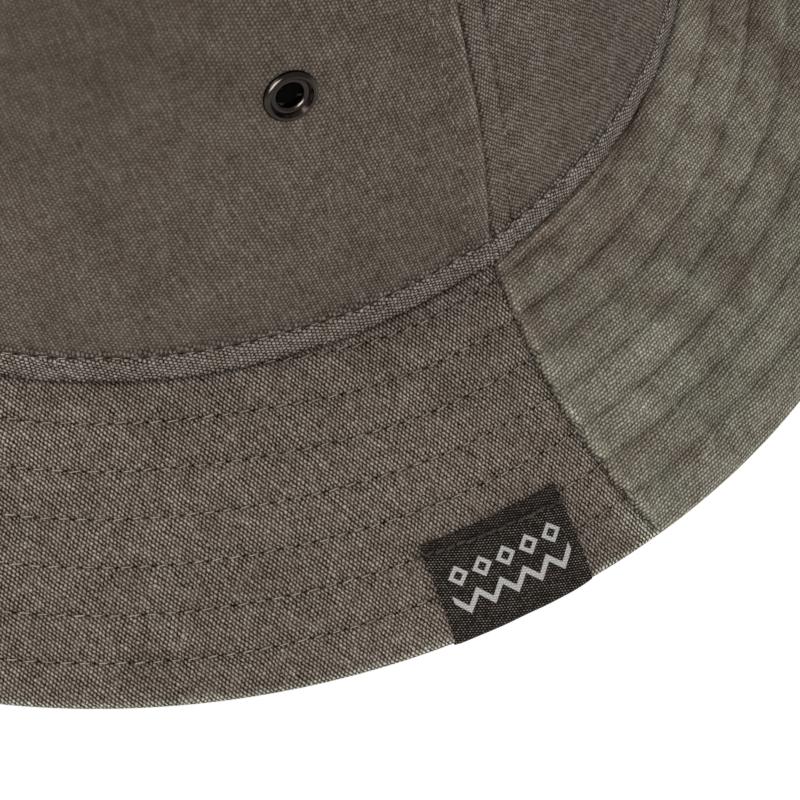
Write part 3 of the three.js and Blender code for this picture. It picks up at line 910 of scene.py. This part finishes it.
def brim_cloth(name, side, at, shape, step, thickness, *, bulge, marks_at, grain):
    """Half of a brim cloth, with the seams' wandering in its shape and its maps."""
    angles = half_angles(side, step)
    skewed = angles[:, None] + brim_skew(angles[:, None], shape["along"])
    flat = flat_pattern(skewed, shape["run"], BRIM_TURN, -1.0, grain[side])
    maps = {"cloth": flat, "rows": brim_row_map(skewed, shape["along"])}
    return cloth(f"{name}_{side}", at, angles, shape, thickness, bulge=bulge, maps=maps,
                 marks=marks_at(skewed, shape["along"]), skew=brim_skew)


def brim_panel(side):
    """The brim's upper canvas, rolled round the edge."""
    flat = level(-1.3, EDGE_MIDDLE, 0.75, BRIM_LIFT)[:-1]
    shape = section(flat, roll(EDGE_MIDDLE, BRIM_LIFT, EDGE_RADIUS, 0.0, 118.0, 9))
    made = brim_cloth("brim_canvas", side, brim_at, shape, 1.0, CANVAS - 0.05,
                      bulge=brim_bulge, marks_at=brim_marks, grain=BRIM_GRAIN)
    dress(made, BRIM_WEAVE[side], "canvas", "hat", f"brim_top_{side}_panel")


def lining_marks(angle, along):
    # Painted light and shade: lighter where the lower canvas bulges, darker between.
    light = 0.92 + 0.30 * (under_bulge(angle, along) - 0.15)
    return {"light": light, "tone": 0.2, "crisp": 0.85, "worn": 0.1, "sewn": 1.0}


def brim_lining(side):
    """The brim's lower canvas. Its outer edge tucks in behind the rolled edge."""
    end = EDGE_MIDDLE - 0.5
    shape = section(level(-3.4, end, 0.95)[:-1], roll(end, 0.0, 0.5, 0.0, 55.0, 4))
    made = brim_cloth("brim_lining", side, under_at, shape, 1.3, CANVAS - 0.15,
                      bulge=under_bulge, marks_at=lining_marks, grain=LINING_GRAIN)
    dress(made, BRIM_WEAVE["front"], "canvas", "hat", f"brim_under_{side}_panel")


for make_half in (brim_panel, brim_lining):
    for side in HALVES:
        make_half(side)

stiffener_shape = section(level(*STIFFENER_WIDTHS, 3.0, -STIFFENER_DEPTH))
stiffener = cloth("brim_stiffener", brim_at, round_angles(4.0), stiffener_shape, STIFFENER_THICKNESS,
                  ring=True)
dress(stiffener, STIFFENER, "interlining", "hat", "brim_interlining")


# ---- crown ----


def wall_marks(angle, along):
    """Colouring of the crown, with painted light and shade: softer and plainer towards the front and the
    tip.
    """
    length = round_length(angle, wall_out(along))
    seam = from_seam(angle, wall_out(along))
    back = behind(seam)
    front = smooth(0.15, 0.75, -np.sin(angle))
    high = smooth(20.0, 75.0, along)
    band = 1.0 - smooth(FOOT_ROW, FOOT_ROW + 1.0, along)
    # Painted shade under the top edge of the foot band, and painted light on the band.
    painted_band_light_and_shade = -0.30 * bell(along - FOOT_ROW - 1.0, 0.5) + 0.18 * band
    # Painted highlight on the ridge before each side seam, and painted shade in the seam and along its
    # stitch line.
    wear_and_painted_light = 0.30 * bell(seam + 1.0, 0.8) - 0.50 * bell(seam - 0.1, 0.5) - 0.50 * bell(seam - SIDE_ROW, 0.45)
    wear_and_painted_light = wear_and_painted_light * (1.0 - band) * (1.0 + 0.7 * patchy(along / 2.6, 0.0, 23))
    # The first part is painted light and shade that follow the wall's bulges; the second is random mottling.
    cloud = 0.10 * wall_bulge(angle, along) + 0.05 * patchy(length / 21.0, along / 17.0, 12)
    # Painted shade in the crease at the wall's foot.
    light = 1.0 - 0.80 * bell(along, 0.6) + painted_band_light_and_shade + wear_and_painted_light + cloud
    crisp = 0.80 - 0.55 * front * (0.35 + 0.65 * high) + (0.65 + 0.2 * front) * band
    lines = bell(np.abs(seam) - SIDE_ROW, 1.0) * (1.0 - band)
    return {
        # Painted shade on the high front of the crown and painted light on its back.
        "light": light * (1.0 - 0.15 * front * high + 0.08 * back),
        "tone": 0.10 + 0.20 * back,
        "crisp": crisp + 0.15 * back * (1.0 - band),
        "worn": 0.15 + 0.25 * back,
        "sewn": 1.0 - 0.8 * lines,
    }


def wall_rows(angles, along):
    """Stitch numbers and distances for the row round the wall's foot and the lines beside its seams."""
    distance = along - FOOT_ROW
    out = wall_out(FOOT_ROW)
    number = round_length(angles, out) / stitch_period(out)
    seam = np.abs(from_seam(angles, wall_out(along))) - SIDE_ROW
    near_line = (np.abs(seam) < np.abs(distance)) & (along > FOOT_ROW)
    upright = along / STITCH_PERIOD
    return np.stack([np.where(near_line, upright, number), np.where(near_line, seam, distance)], -1)


EYELETS = {
    "left_front": -EYELET_ANGLE,
    "left_back": EYELET_ANGLE,
    "right_front": EYELET_ANGLE - 180.0,
    "right_back": 180.0 - EYELET_ANGLE,
}


def clear_of_eyelets(angles, along):
    """Which cells of a panel's grid are kept, so that the eyelets' holes are open."""
    angle = (angles[1:] + angles[:-1])[:, None] / 2.0
    height = (along[1:] + along[:-1])[None, :] / 2.0
    out = wall_out(height)
    kept = np.ones((len(angles) - 1, len(along) - 1), bool)
    for degrees in EYELETS.values():
        aside = round_length(angle, out) - round_length(math.radians(degrees), out)
        kept &= np.hypot(aside, height - EYELET_HEIGHT) > EYELET_CLEARANCE
    return kept


def crown_panel(side):
    """Half of the crown wall, rolled in at its foot and at the tip seam."""
    low, high = 0.7, CROWN_HEIGHT - 1.0
    foot = roll(low, 0.0, 0.6, -115.0, 0.0, 7)[:-1]
    head = roll(high, 0.0, 1.0, 0.0, 80.0, 6)[1:]
    shape = section(foot, level(low, high, 0.8), head)
    angles = half_angles(side, 1.0)
    wall, band = (flat_pattern(angles[:, None], shape["run"], WALL_TURN, 1.0, grain)
                  for grain in (CROWN_GRAIN[side], FOOT_BAND_GRAIN))
    in_band = (shape["along"] < FOOT_ROW + 0.3)[None, :, None]
    maps = {"cloth": np.where(in_band, band, wall), "rows": wall_rows(angles[:, None], shape["along"])}
    made = cloth(f"crown_canvas_{side}", wall_at, angles, shape, CROWN_CANVAS - 0.1, bulge=wall_bulge,
                 maps=maps, marks=wall_marks(angles[:, None], shape["along"]),
                 kept=clear_of_eyelets(angles, shape["along"]))
    dress(made, CROWN_WEAVE, "canvas", "hat", f"crown_{side}_panel")


for side in HALVES:
    crown_panel(side)

# Half the width and half the length of the tip's rim.
TIP_HALVES = (HALF_WIDTH + CROWN_OUT - 0.35, HALF_LENGTH + CROWN_OUT - 0.35)
TIP_EDGE = 1.5


def tip_height(share):
    """Height of the tip's upper face, at a share of the way from its middle to its rim."""
    return wall_at(CROWN_HEIGHT, 0.0)[1] + 1.0 + TIP_RISE * (1.0 - share**2)


def crown_tip():
    """The oval tip: a low dome whose rim turns down into the seam."""
    side = np.linspace(-1.0, 1.0, 171)
    a, b = np.meshgrid(side, side, indexing="ij")
    x, y = a * np.sqrt(1.0 - b * b / 2.0), b * np.sqrt(1.0 - a * a / 2.0)
    share = np.clip(np.hypot(x, y), 0.0, 1.0)
    x, y = x * TIP_HALVES[0], y * TIP_HALVES[1]
    inwards = (1.0 - share) * HALF_WIDTH
    turned_in = np.clip(1.0 - inwards / TIP_EDGE, 0.0, 1.0)
    turned_down = TIP_EDGE * (1.0 - np.sqrt(1.0 - turned_in**2))
    slack = 0.5 * patchy(x / 34.0, y / 34.0, 13) + 0.15 * patchy(x / 10.0, y / 10.0, 14)
    up = tip_height(share) - turned_down + slack * smooth(0.0, 25.0, inwards)
    up = up - 0.2 * bell(inwards - TIP_ROW, 0.8)
    outer = np.stack([x, y, up], -1)
    inner = outer - np.array([0.0, 0.0, CROWN_CANVAS])
    angle = np.arctan2(y / HALF_LENGTH, x / HALF_WIDTH)
    row_at = CROWN_OUT - TIP_ROW
    number = round_length(angle, row_at) / stitch_period(row_at)
    maps = {"cloth": np.stack([x, y], -1), "rows": np.stack([number, inwards - TIP_ROW], -1)}
    # Painted shade where the tip turns down into its seam, and painted light on its raised slack.
    light = 1.0 - 0.35 * bell(inwards, 1.0) + 0.05 * slack
    marks = {"light": light, "tone": 0.2, "crisp": 0.6, "worn": 0.15, "sewn": 1.0}
    made = slab("crown_tip_canvas", outer, inner, maps, marks)
    dress(made, CROWN_WEAVE, "canvas", "hat", "crown_tip")


crown_tip()


# ---- inside the crown ----


def band_bulge(angle, height):
    """The sweatband's folded top edge, its stitched foot and its slight waves."""
    length = round_length(angle, 0.0)
    hems = 0.25 * bell(height - BAND_HEIGHT + 2.0, 2.0) - 0.2 * bell(height - 4.5, 0.7)
    return hems + 0.25 * patchy(length / 26.0, height / 11.0, 15)


def tape_bulge(angle, height):
    """A seam tape's slight waves."""
    return 0.12 * patchy(round_length(angle, 0.0) / 7.0, height / 5.0, 16)


def lining_ring(name, at, shape, thickness, bulge):
    """A strip of twill all round the inside of the crown."""
    angles = round_angles(1.6)
    maps = {"cloth": plain_map(angles, shape, ring=True)}
    return cloth(name, at, angles, shape, thickness, bulge=bulge, maps=maps, ring=True)


band_top = BAND_HEIGHT - BAND_EDGE
band_shape = section(
    roll(BAND_EDGE, 0.0, BAND_EDGE, -90.0, 0.0, 4)[:-1],
    level(BAND_EDGE, band_top, 0.9),
    roll(band_top, 0.0, BAND_EDGE, 0.0, 90.0, 4)[1:],
)
sweatband = lining_ring("sweatband_cloth", band_at, band_shape, BAND_THICKNESS - 0.1, band_bulge)
dress(sweatband, BAND_TWILL, "band", "hat", "sweatband")

tip_tape_shape = section(level(CROWN_HEIGHT - TIP_TAPE_WIDTH, CROWN_HEIGHT - 0.6, 0.9, TIP_TAPE_INSET))
tip_tape = lining_ring("tip_tape_cloth", inner_wall_at, tip_tape_shape, TAPE_THICKNESS, tape_bulge)
dress(tip_tape, TAPE_TWILL, "tape", "hat", "tip_seam_tape")

side_tape_shape = section(level(*SIDE_TAPE_HEIGHTS, 1.0, SIDE_TAPE_INSET))
SIDES = {"left": 0.0, "right": 180.0}
for name, middle in SIDES.items():
    angles = np.radians(np.linspace(middle - SIDE_TAPE_HALF, middle + SIDE_TAPE_HALF, 19))
    side_tape = cloth(f"{name}_side_tape_cloth", inner_wall_at, angles, side_tape_shape, TAPE_THICKNESS,
                      bulge=tape_bulge, maps={"cloth": plain_map(angles, side_tape_shape)})
    dress(side_tape, TAPE_TWILL, "tape", "hat", f"{name}_side_seam_tape")


# ---- topstitching ----


def topstitch(name, line, seed, node):
    """Stitches of the hat's own thread along a line of middles, directions and normals."""
    made = stitches(name, *line, THREAD_RADIUS, STITCH_LENGTH, seed)
    dress(made, THREAD, "thread", "hat", node)


def sink(angle, width):
    """Lift of the threads over the brim. They are drawn down into the softer cloth at the back."""
    return BRIM_LIFT + 0.08 - 0.24 * behind(brim_seam(angle, width))


def brim_row(number):
    """Both faces of a row of the brim. Its upper stitches stop on both sides of the label."""
    angle = stitch_angles(row_out(number))
    width = row_width(number, angle)
    on_top = round_row(brim_at, angle, width, brim_bulge(angle, width) + sink(angle, width))
    aside = np.abs(np.degrees(angle) - LABEL_MIDDLE[1]) > LABEL_HALF[0] + 0.4
    shown = aside | (width < BRIM_WIDTH - LABEL_LEG - 0.5)
    below = round_row(under_at, angle, width, under_bulge(angle, width) + THREAD_LIFT)
    return join_rows([part[shown] for part in on_top], below)


for number in range(ROW_COUNT):
    topstitch(f"brim_row_{number + 1}_stitches", brim_row(number), 100 + number,
              f"brim_topstitch_row_{number + 1}")

foot_angle = stitch_angles(wall_out(FOOT_ROW))
foot_line = round_row(wall_at, foot_angle, FOOT_ROW, wall_bulge(foot_angle, FOOT_ROW) + THREAD_LIFT)
topstitch("crown_foot_stitches", foot_line, 120, "crown_foot_topstitch")


def tip_line():
    """Middles, directions and normals of the stitches round the tip, just inside its rim."""
    angle = stitch_angles(CROWN_OUT - TIP_ROW)
    share = 1.0 - TIP_ROW / HALF_WIDTH
    half_width, half_length = TIP_HALVES
    height = np.full_like(angle, tip_height(share) - 0.12)
    middle = np.stack([share * half_width * np.cos(angle), share * half_length * np.sin(angle), height], -1)
    step = np.stack([-half_width * np.sin(angle), half_length * np.cos(angle), 0.0 * angle], -1)
    direction = step / np.linalg.norm(step, axis=-1, keepdims=True)
    return middle, direction, np.tile([0.0, 0.0, 1.0], (len(angle), 1))


topstitch("crown_tip_stitches", tip_line(), 121, "crown_tip_topstitch")


def upright_line(middle, way):
    """Middles, directions and normals of a line of stitches that climbs the wall beside a side seam."""
    low, high = FOOT_ROW + 1.5, CROWN_HEIGHT - 1.5
    first, last = math.ceil(low / STITCH_PERIOD), math.floor(high / STITCH_PERIOD)
    height = (np.arange(first, last) + 0.5) * STITCH_PERIOD
    angle = math.radians(middle) + way * SIDE_ROW / (HALF_LENGTH + wall_out(height))
    return wall_frame(angle, height, wall_bulge(angle, height) + 0.02)


for name, middle in SIDES.items():
    backwards = 1.0 if name == "left" else -1.0
    for side, way in (("front", -backwards), ("back", backwards)):
        topstitch(f"{name}_seam_{side}_stitches", upright_line(middle, way), 130,
                  f"{name}_seam_{side}_topstitch")


# ---- eyelets ----


def turned(name, profile, origin, axes, segments=72):
    """A ring turned from a closed profile of (radius, lift) points about an eyelet's axis."""
    profile = np.asarray(profile, float)
    turn = np.linspace(0.0, 2.0 * math.pi, segments, endpoint=False)
    round_way = np.cos(turn)[:, None] * axes[0] + np.sin(turn)[:, None] * axes[1]
    points = origin + round_way[:, None] * profile[None, :, :1] + axes[2] * profile[None, :, 1:]
    index = np.arange(segments * len(profile)).reshape(segments, len(profile))
    ahead, beside = np.roll(index, -1, 0), np.roll(index, -1, 1)
    both = np.roll(ahead, -1, 1)
    faces = np.stack([index, beside, both, ahead], -1).reshape(-1, 4)
    return make_object(name, points.reshape(-1, 3), faces, {}, {})


def bow(radius, lift, size, start, end, steps):
    """Points of a round edge of this size: 0 degrees faces away from the axis and 90 out of the cloth."""
    turn = np.radians(np.linspace(start, end, steps))
    return list(zip(radius + size * np.cos(turn), lift + size * np.sin(turn)))


def eyelet_profile():
    """A rolled rim, a groove, a lip that runs down into the barrel, and its end spread over the washer."""
    rim = bow(4.25, 0.15, 0.95, -10.0, 97.0, 12)
    groove = [(3.95, 0.75)]
    lip = bow(3.30, -0.45, 0.80, 62.0, 188.0, 15)
    spread = [(2.60, -1.9), (2.85, -2.25), (3.3, -2.4), (3.9, -2.3), (3.9, -2.0), (3.2, -2.0)]
    behind_rim = [(3.1, -1.7), (3.1, -1.2), (4.9, -0.3)]
    return rim + groove + lip + spread + behind_rim


def washer_profile():
    return [(3.35, -1.2), (3.35, -1.55), (5.0, -1.6), (5.2, -1.45), (5.2, -1.2)]


def eyelet(name, angle):
    """An eyelet and its washer, square to the wall where they are."""
    lift = float(wall_bulge(np.array([angle]), np.array([EYELET_HEIGHT]))[0])
    origin, up, out = wall_frame(angle, EYELET_HEIGHT, lift)
    axes = (np.cross(up, out), up, out)
    ring = turned(f"{name}_eyelet_ring", eyelet_profile(), origin, axes)
    dress(ring, GUNMETAL, "eyelet_metal", "hat", f"{name}_eyelet")
    backing = turned(f"{name}_eyelet_backing", washer_profile(), origin, axes)
    dress(backing, GUNMETAL, "eyelet_metal", "hat", f"{name}_eyelet_washer")


for name, degrees in EYELETS.items():
    eyelet(name, math.radians(degrees))


# ---- brim label ----

LABEL_TOP = BRIM_WIDTH - LABEL_LEG
LABEL_FACE = BRIM_LIFT + LABEL_CLOTH + LABEL_GAP


def label_lift(width):
    """Height of the label's face over the brim: it lies on the quilting and tightens at the edge."""
    return LABEL_FACE + 0.36 * (1.0 - smooth(EDGE_MIDDLE - 6.0, EDGE_MIDDLE, width))


def label_section():
    """Over the brim, round its edge and back beneath."""
    over = np.linspace(LABEL_TOP, EDGE_MIDDLE, 30)
    upper = np.stack([over, label_lift(over)], -1)[:-1]
    turn = roll(EDGE_MIDDLE, LABEL_FACE, EDGE_RADIUS + LABEL_GAP + LABEL_CLOTH, 0.0, 180.0, 15)[:-1]
    beneath = np.linspace(EDGE_MIDDLE, LABEL_TOP + 0.5, 24)
    depth = under_depth(beneath) + 0.10 + LABEL_CLOTH + 0.30 * (1.0 - smooth(54.0, PRESSED[1], beneath))
    return section(upper, turn, np.stack([beneath, -depth], -1))


def label_angles(share, along):
    """Angles across the label. It is a straight strip, so it spans a smaller angle further out."""
    outwards = (along - LABEL_TOP) / LABEL_LEG
    middle = LABEL_MIDDLE[0] + (LABEL_MIDDLE[1] - LABEL_MIDDLE[0]) * outwards
    half = LABEL_HALF[0] + (LABEL_HALF[1] - LABEL_HALF[0]) * outwards
    return np.radians(middle + half * share)


def make_label():
    """The folded label, and the length of its cloth."""
    shape = label_section()
    share = np.linspace(-1.0, 1.0, 57)[:, None]
    base = np.radians(LABEL_MIDDLE[0] + LABEL_HALF[0] * share[:, 0])

    def skew(angles, along):
        return label_angles(share, along) - angles

    def bulge(angle, along):
        sides = 0.12 * smooth(0.9, 1.0, np.abs(share))
        waves = 0.10 * patchy(share * 3.0, along / 6.0, 17)
        return waves - 0.25 * bell(along - LABEL_TOP - 2.6, 0.8) - sides

    run = shape["run"] - LABEL_TOP
    x, y = np.broadcast_arrays((share + 1.0) * LABEL_WIDTH / 2.0, run[None, :])
    slanted = np.stack([x * 0.94 + y * 0.34, y * 0.94 - x * 0.34], -1)
    made = cloth("brim_label_cloth", brim_at, base, shape, LABEL_CLOTH, bulge=bulge, skew=skew,
                 maps={"cloth": slanted, "rows": np.stack([x, y], -1)})
    dress(made, LABEL_WEAVE, "woven_label", "hat", "brim_label")
    return made, float(run[-1])


brim_label, label_length = make_label()


def label_stitches():
    """Black stitches across the head of the label, running on past its left edge."""
    low = LABEL_MIDDLE[0] - LABEL_HALF[0] - 0.45
    high = LABEL_MIDDLE[0] + LABEL_HALF[0] - 0.15
    degrees = np.linspace(low, high, LABEL_STITCH_COUNT)
    width = LABEL_TOP + np.linspace(*LABEL_STITCH_INSET, LABEL_STITCH_COUNT)
    lift = np.where(degrees < low + 0.9, BRIM_LIFT + 0.25, label_lift(width) + 0.16)
    wave = width + 0.12 * np.cos(np.arange(LABEL_STITCH_COUNT) * 2.4)
    line = round_row(brim_at, np.radians(degrees), wave, lift)
    return stitches("brim_label_stitches", *line, LABEL_STITCH_RADIUS, LABEL_STITCH_LENGTH, 140)


dress(label_stitches(), BLACK_THREAD, "black_thread", "hat", "brim_label_stitch")


# ---- care label ----


def care_label():
    """A blank satin label: its head lies against the tip tape and the rest hangs and curls a little."""
    low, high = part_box("care_label")
    width = (high.x - low.x) / METRE
    hang = (high.z - low.z) / METRE - 0.5
    hinge = Vector((0.0, (low.y + high.y) / 2.0, high.z)) / METRE
    x = np.linspace(-width / 2.0, width / 2.0, 27)[:, None]
    down = np.linspace(-CARE_TAB, hang, 60)[None, :]
    against_tape = CARE_BOW * (1.0 - smooth(-CARE_TAB, 4.0, down)) * (1.0 - (2.0 * x / width) ** 2)
    curl = CARE_CURL * smooth(0.0, hang + 0.5, down) * np.cos(x / 6.0)
    y, x, z = np.broadcast_arrays(hinge.y + against_tape - curl, x, hinge.z - down)
    outer = np.stack([x, y, z], -1)
    inner = outer + np.array([0.0, CARE_CLOTH, 0.0])
    made = slab("care_label_cloth", outer, inner, {"cloth": np.stack([x, z], -1)}, {})
    made.data.materials.append(CARE_SATIN)
    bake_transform(made)
    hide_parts("care_label")
    return made, width, hang + CARE_TAB


care_cloth, care_width, care_length = care_label()

label_length * METRE


# ---- floor, light and camera ----

WHITE = (1.0, 1.0, 1.0)
FLOOR_HALF = 3.0
FLOOR_GREY = (0.75, 0.75, 0.75)
FLOOR_GLOW = 0.80
SHADE_INSET = 8.0

CAMERA_AZIMUTH = 47.49
CAMERA_ELEVATION = 49.95
CAMERA_DISTANCE = 1800.0
CAMERA_WIDTH = 148.9203
SENSOR = 36.0
TARGET_RIGHT = 42.926
TARGET_UP = -75.465

# Lights stand this far from a place in the crown's front left, along these shares of the camera's axes.
LIGHT_DISTANCE = 1400.0
LIGHT_TARGET = Vector((50.0, -60.0, 50.0))
LIGHT_SIDE = 0.9
SOFTBOX = {"right": -0.75, "up": 0.55, "back": 0.55, "power": 14.5}
PANEL = {"right": -0.21, "up": -0.23, "back": 0.97, "power": 85.0}
SURROUND = 0.76


def make_floor():
    """A white floor that glows outside the hat's brim, so that only the ground near it is shaded."""
    mesh = bpy.data.meshes.new("floor")
    corners = [(x * FLOOR_HALF, y * FLOOR_HALF, 0.0) for x, y in ((-1, -1), (1, -1), (1, 1), (-1, 1))]
    mesh.from_pydata(corners, [], [(0, 1, 2, 3)])
    made = link("floor", mesh)
    graph = Graph("floor white")
    x, y = graph.split(graph.place())
    reach = BRIM_OUT - SHADE_INSET
    across = abs(x) / ((HALF_WIDTH + reach) * METRE)
    along = abs(y) / ((HALF_LENGTH + reach) * METRE)
    glow = graph.between(across**2.0 + along**2.0, 0.9, 1.0, 0.0, FLOOR_GLOW)
    mesh.materials.append(graph.finish(FLOOR_GREY, 1.0, Specular_IOR_Level=0.0, Emission_Color=WHITE,
                                       Emission_Strength=glow))


def camera_axes():
    """Unit vectors to the camera's right, up, and back towards it."""
    azimuth, elevation = math.radians(CAMERA_AZIMUTH), math.radians(CAMERA_ELEVATION)
    right = Vector((math.cos(azimuth), math.sin(azimuth), 0.0))
    ahead = Vector((math.sin(azimuth), -math.cos(azimuth), 0.0))
    back = ahead * math.cos(elevation) + Vector((0.0, 0.0, math.sin(elevation)))
    return right, back.cross(right), back


def make_camera():
    """A long lens whose picture is CAMERA_WIDTH across where the camera is aimed."""
    right, up, back = camera_axes()
    target = Vector((0.0, 0.0, SEAM_HEIGHT)) + right * TARGET_RIGHT + up * TARGET_UP
    data = bpy.data.cameras.new("camera")
    data.sensor_width = SENSOR
    data.lens = CAMERA_DISTANCE / CAMERA_WIDTH * SENSOR
    data.clip_start = 0.01
    made = link("camera", data)
    made.location = (target + back * CAMERA_DISTANCE) * METRE
    made.rotation_euler = back.to_track_quat("Z", "Y").to_euler()
    bpy.context.scene.camera = made


def make_light(name, setting):
    """A square soft light turned to the hat."""
    right, up, back = camera_axes()
    towards = right * setting["right"] + up * setting["up"] + back * setting["back"]
    towards.normalize()
    data = bpy.data.lights.new(name, "AREA")
    data.shape = "SQUARE"
    data.size = LIGHT_SIDE
    data.energy = setting["power"]
    made = link(name, data)
    made.location = (LIGHT_TARGET + towards * LIGHT_DISTANCE) * METRE
    made.rotation_euler = towards.to_track_quat("Z", "Y").to_euler()
    return made


def make_surround():
    world = bpy.data.worlds.new("surround")
    world.use_nodes = True
    background = world.node_tree.nodes["Background"]
    background.inputs["Color"].default_value = (*WHITE, 1.0)
    background.inputs["Strength"].default_value = SURROUND
    bpy.context.scene.world = world


make_floor()
make_camera()
make_light("softbox", SOFTBOX)
# Only metal reflects the panel. It lights no cloth.
make_light("panel", PANEL).visible_diffuse = False
make_surround()
bpy.context.scene.view_settings.view_transform = "Standard"
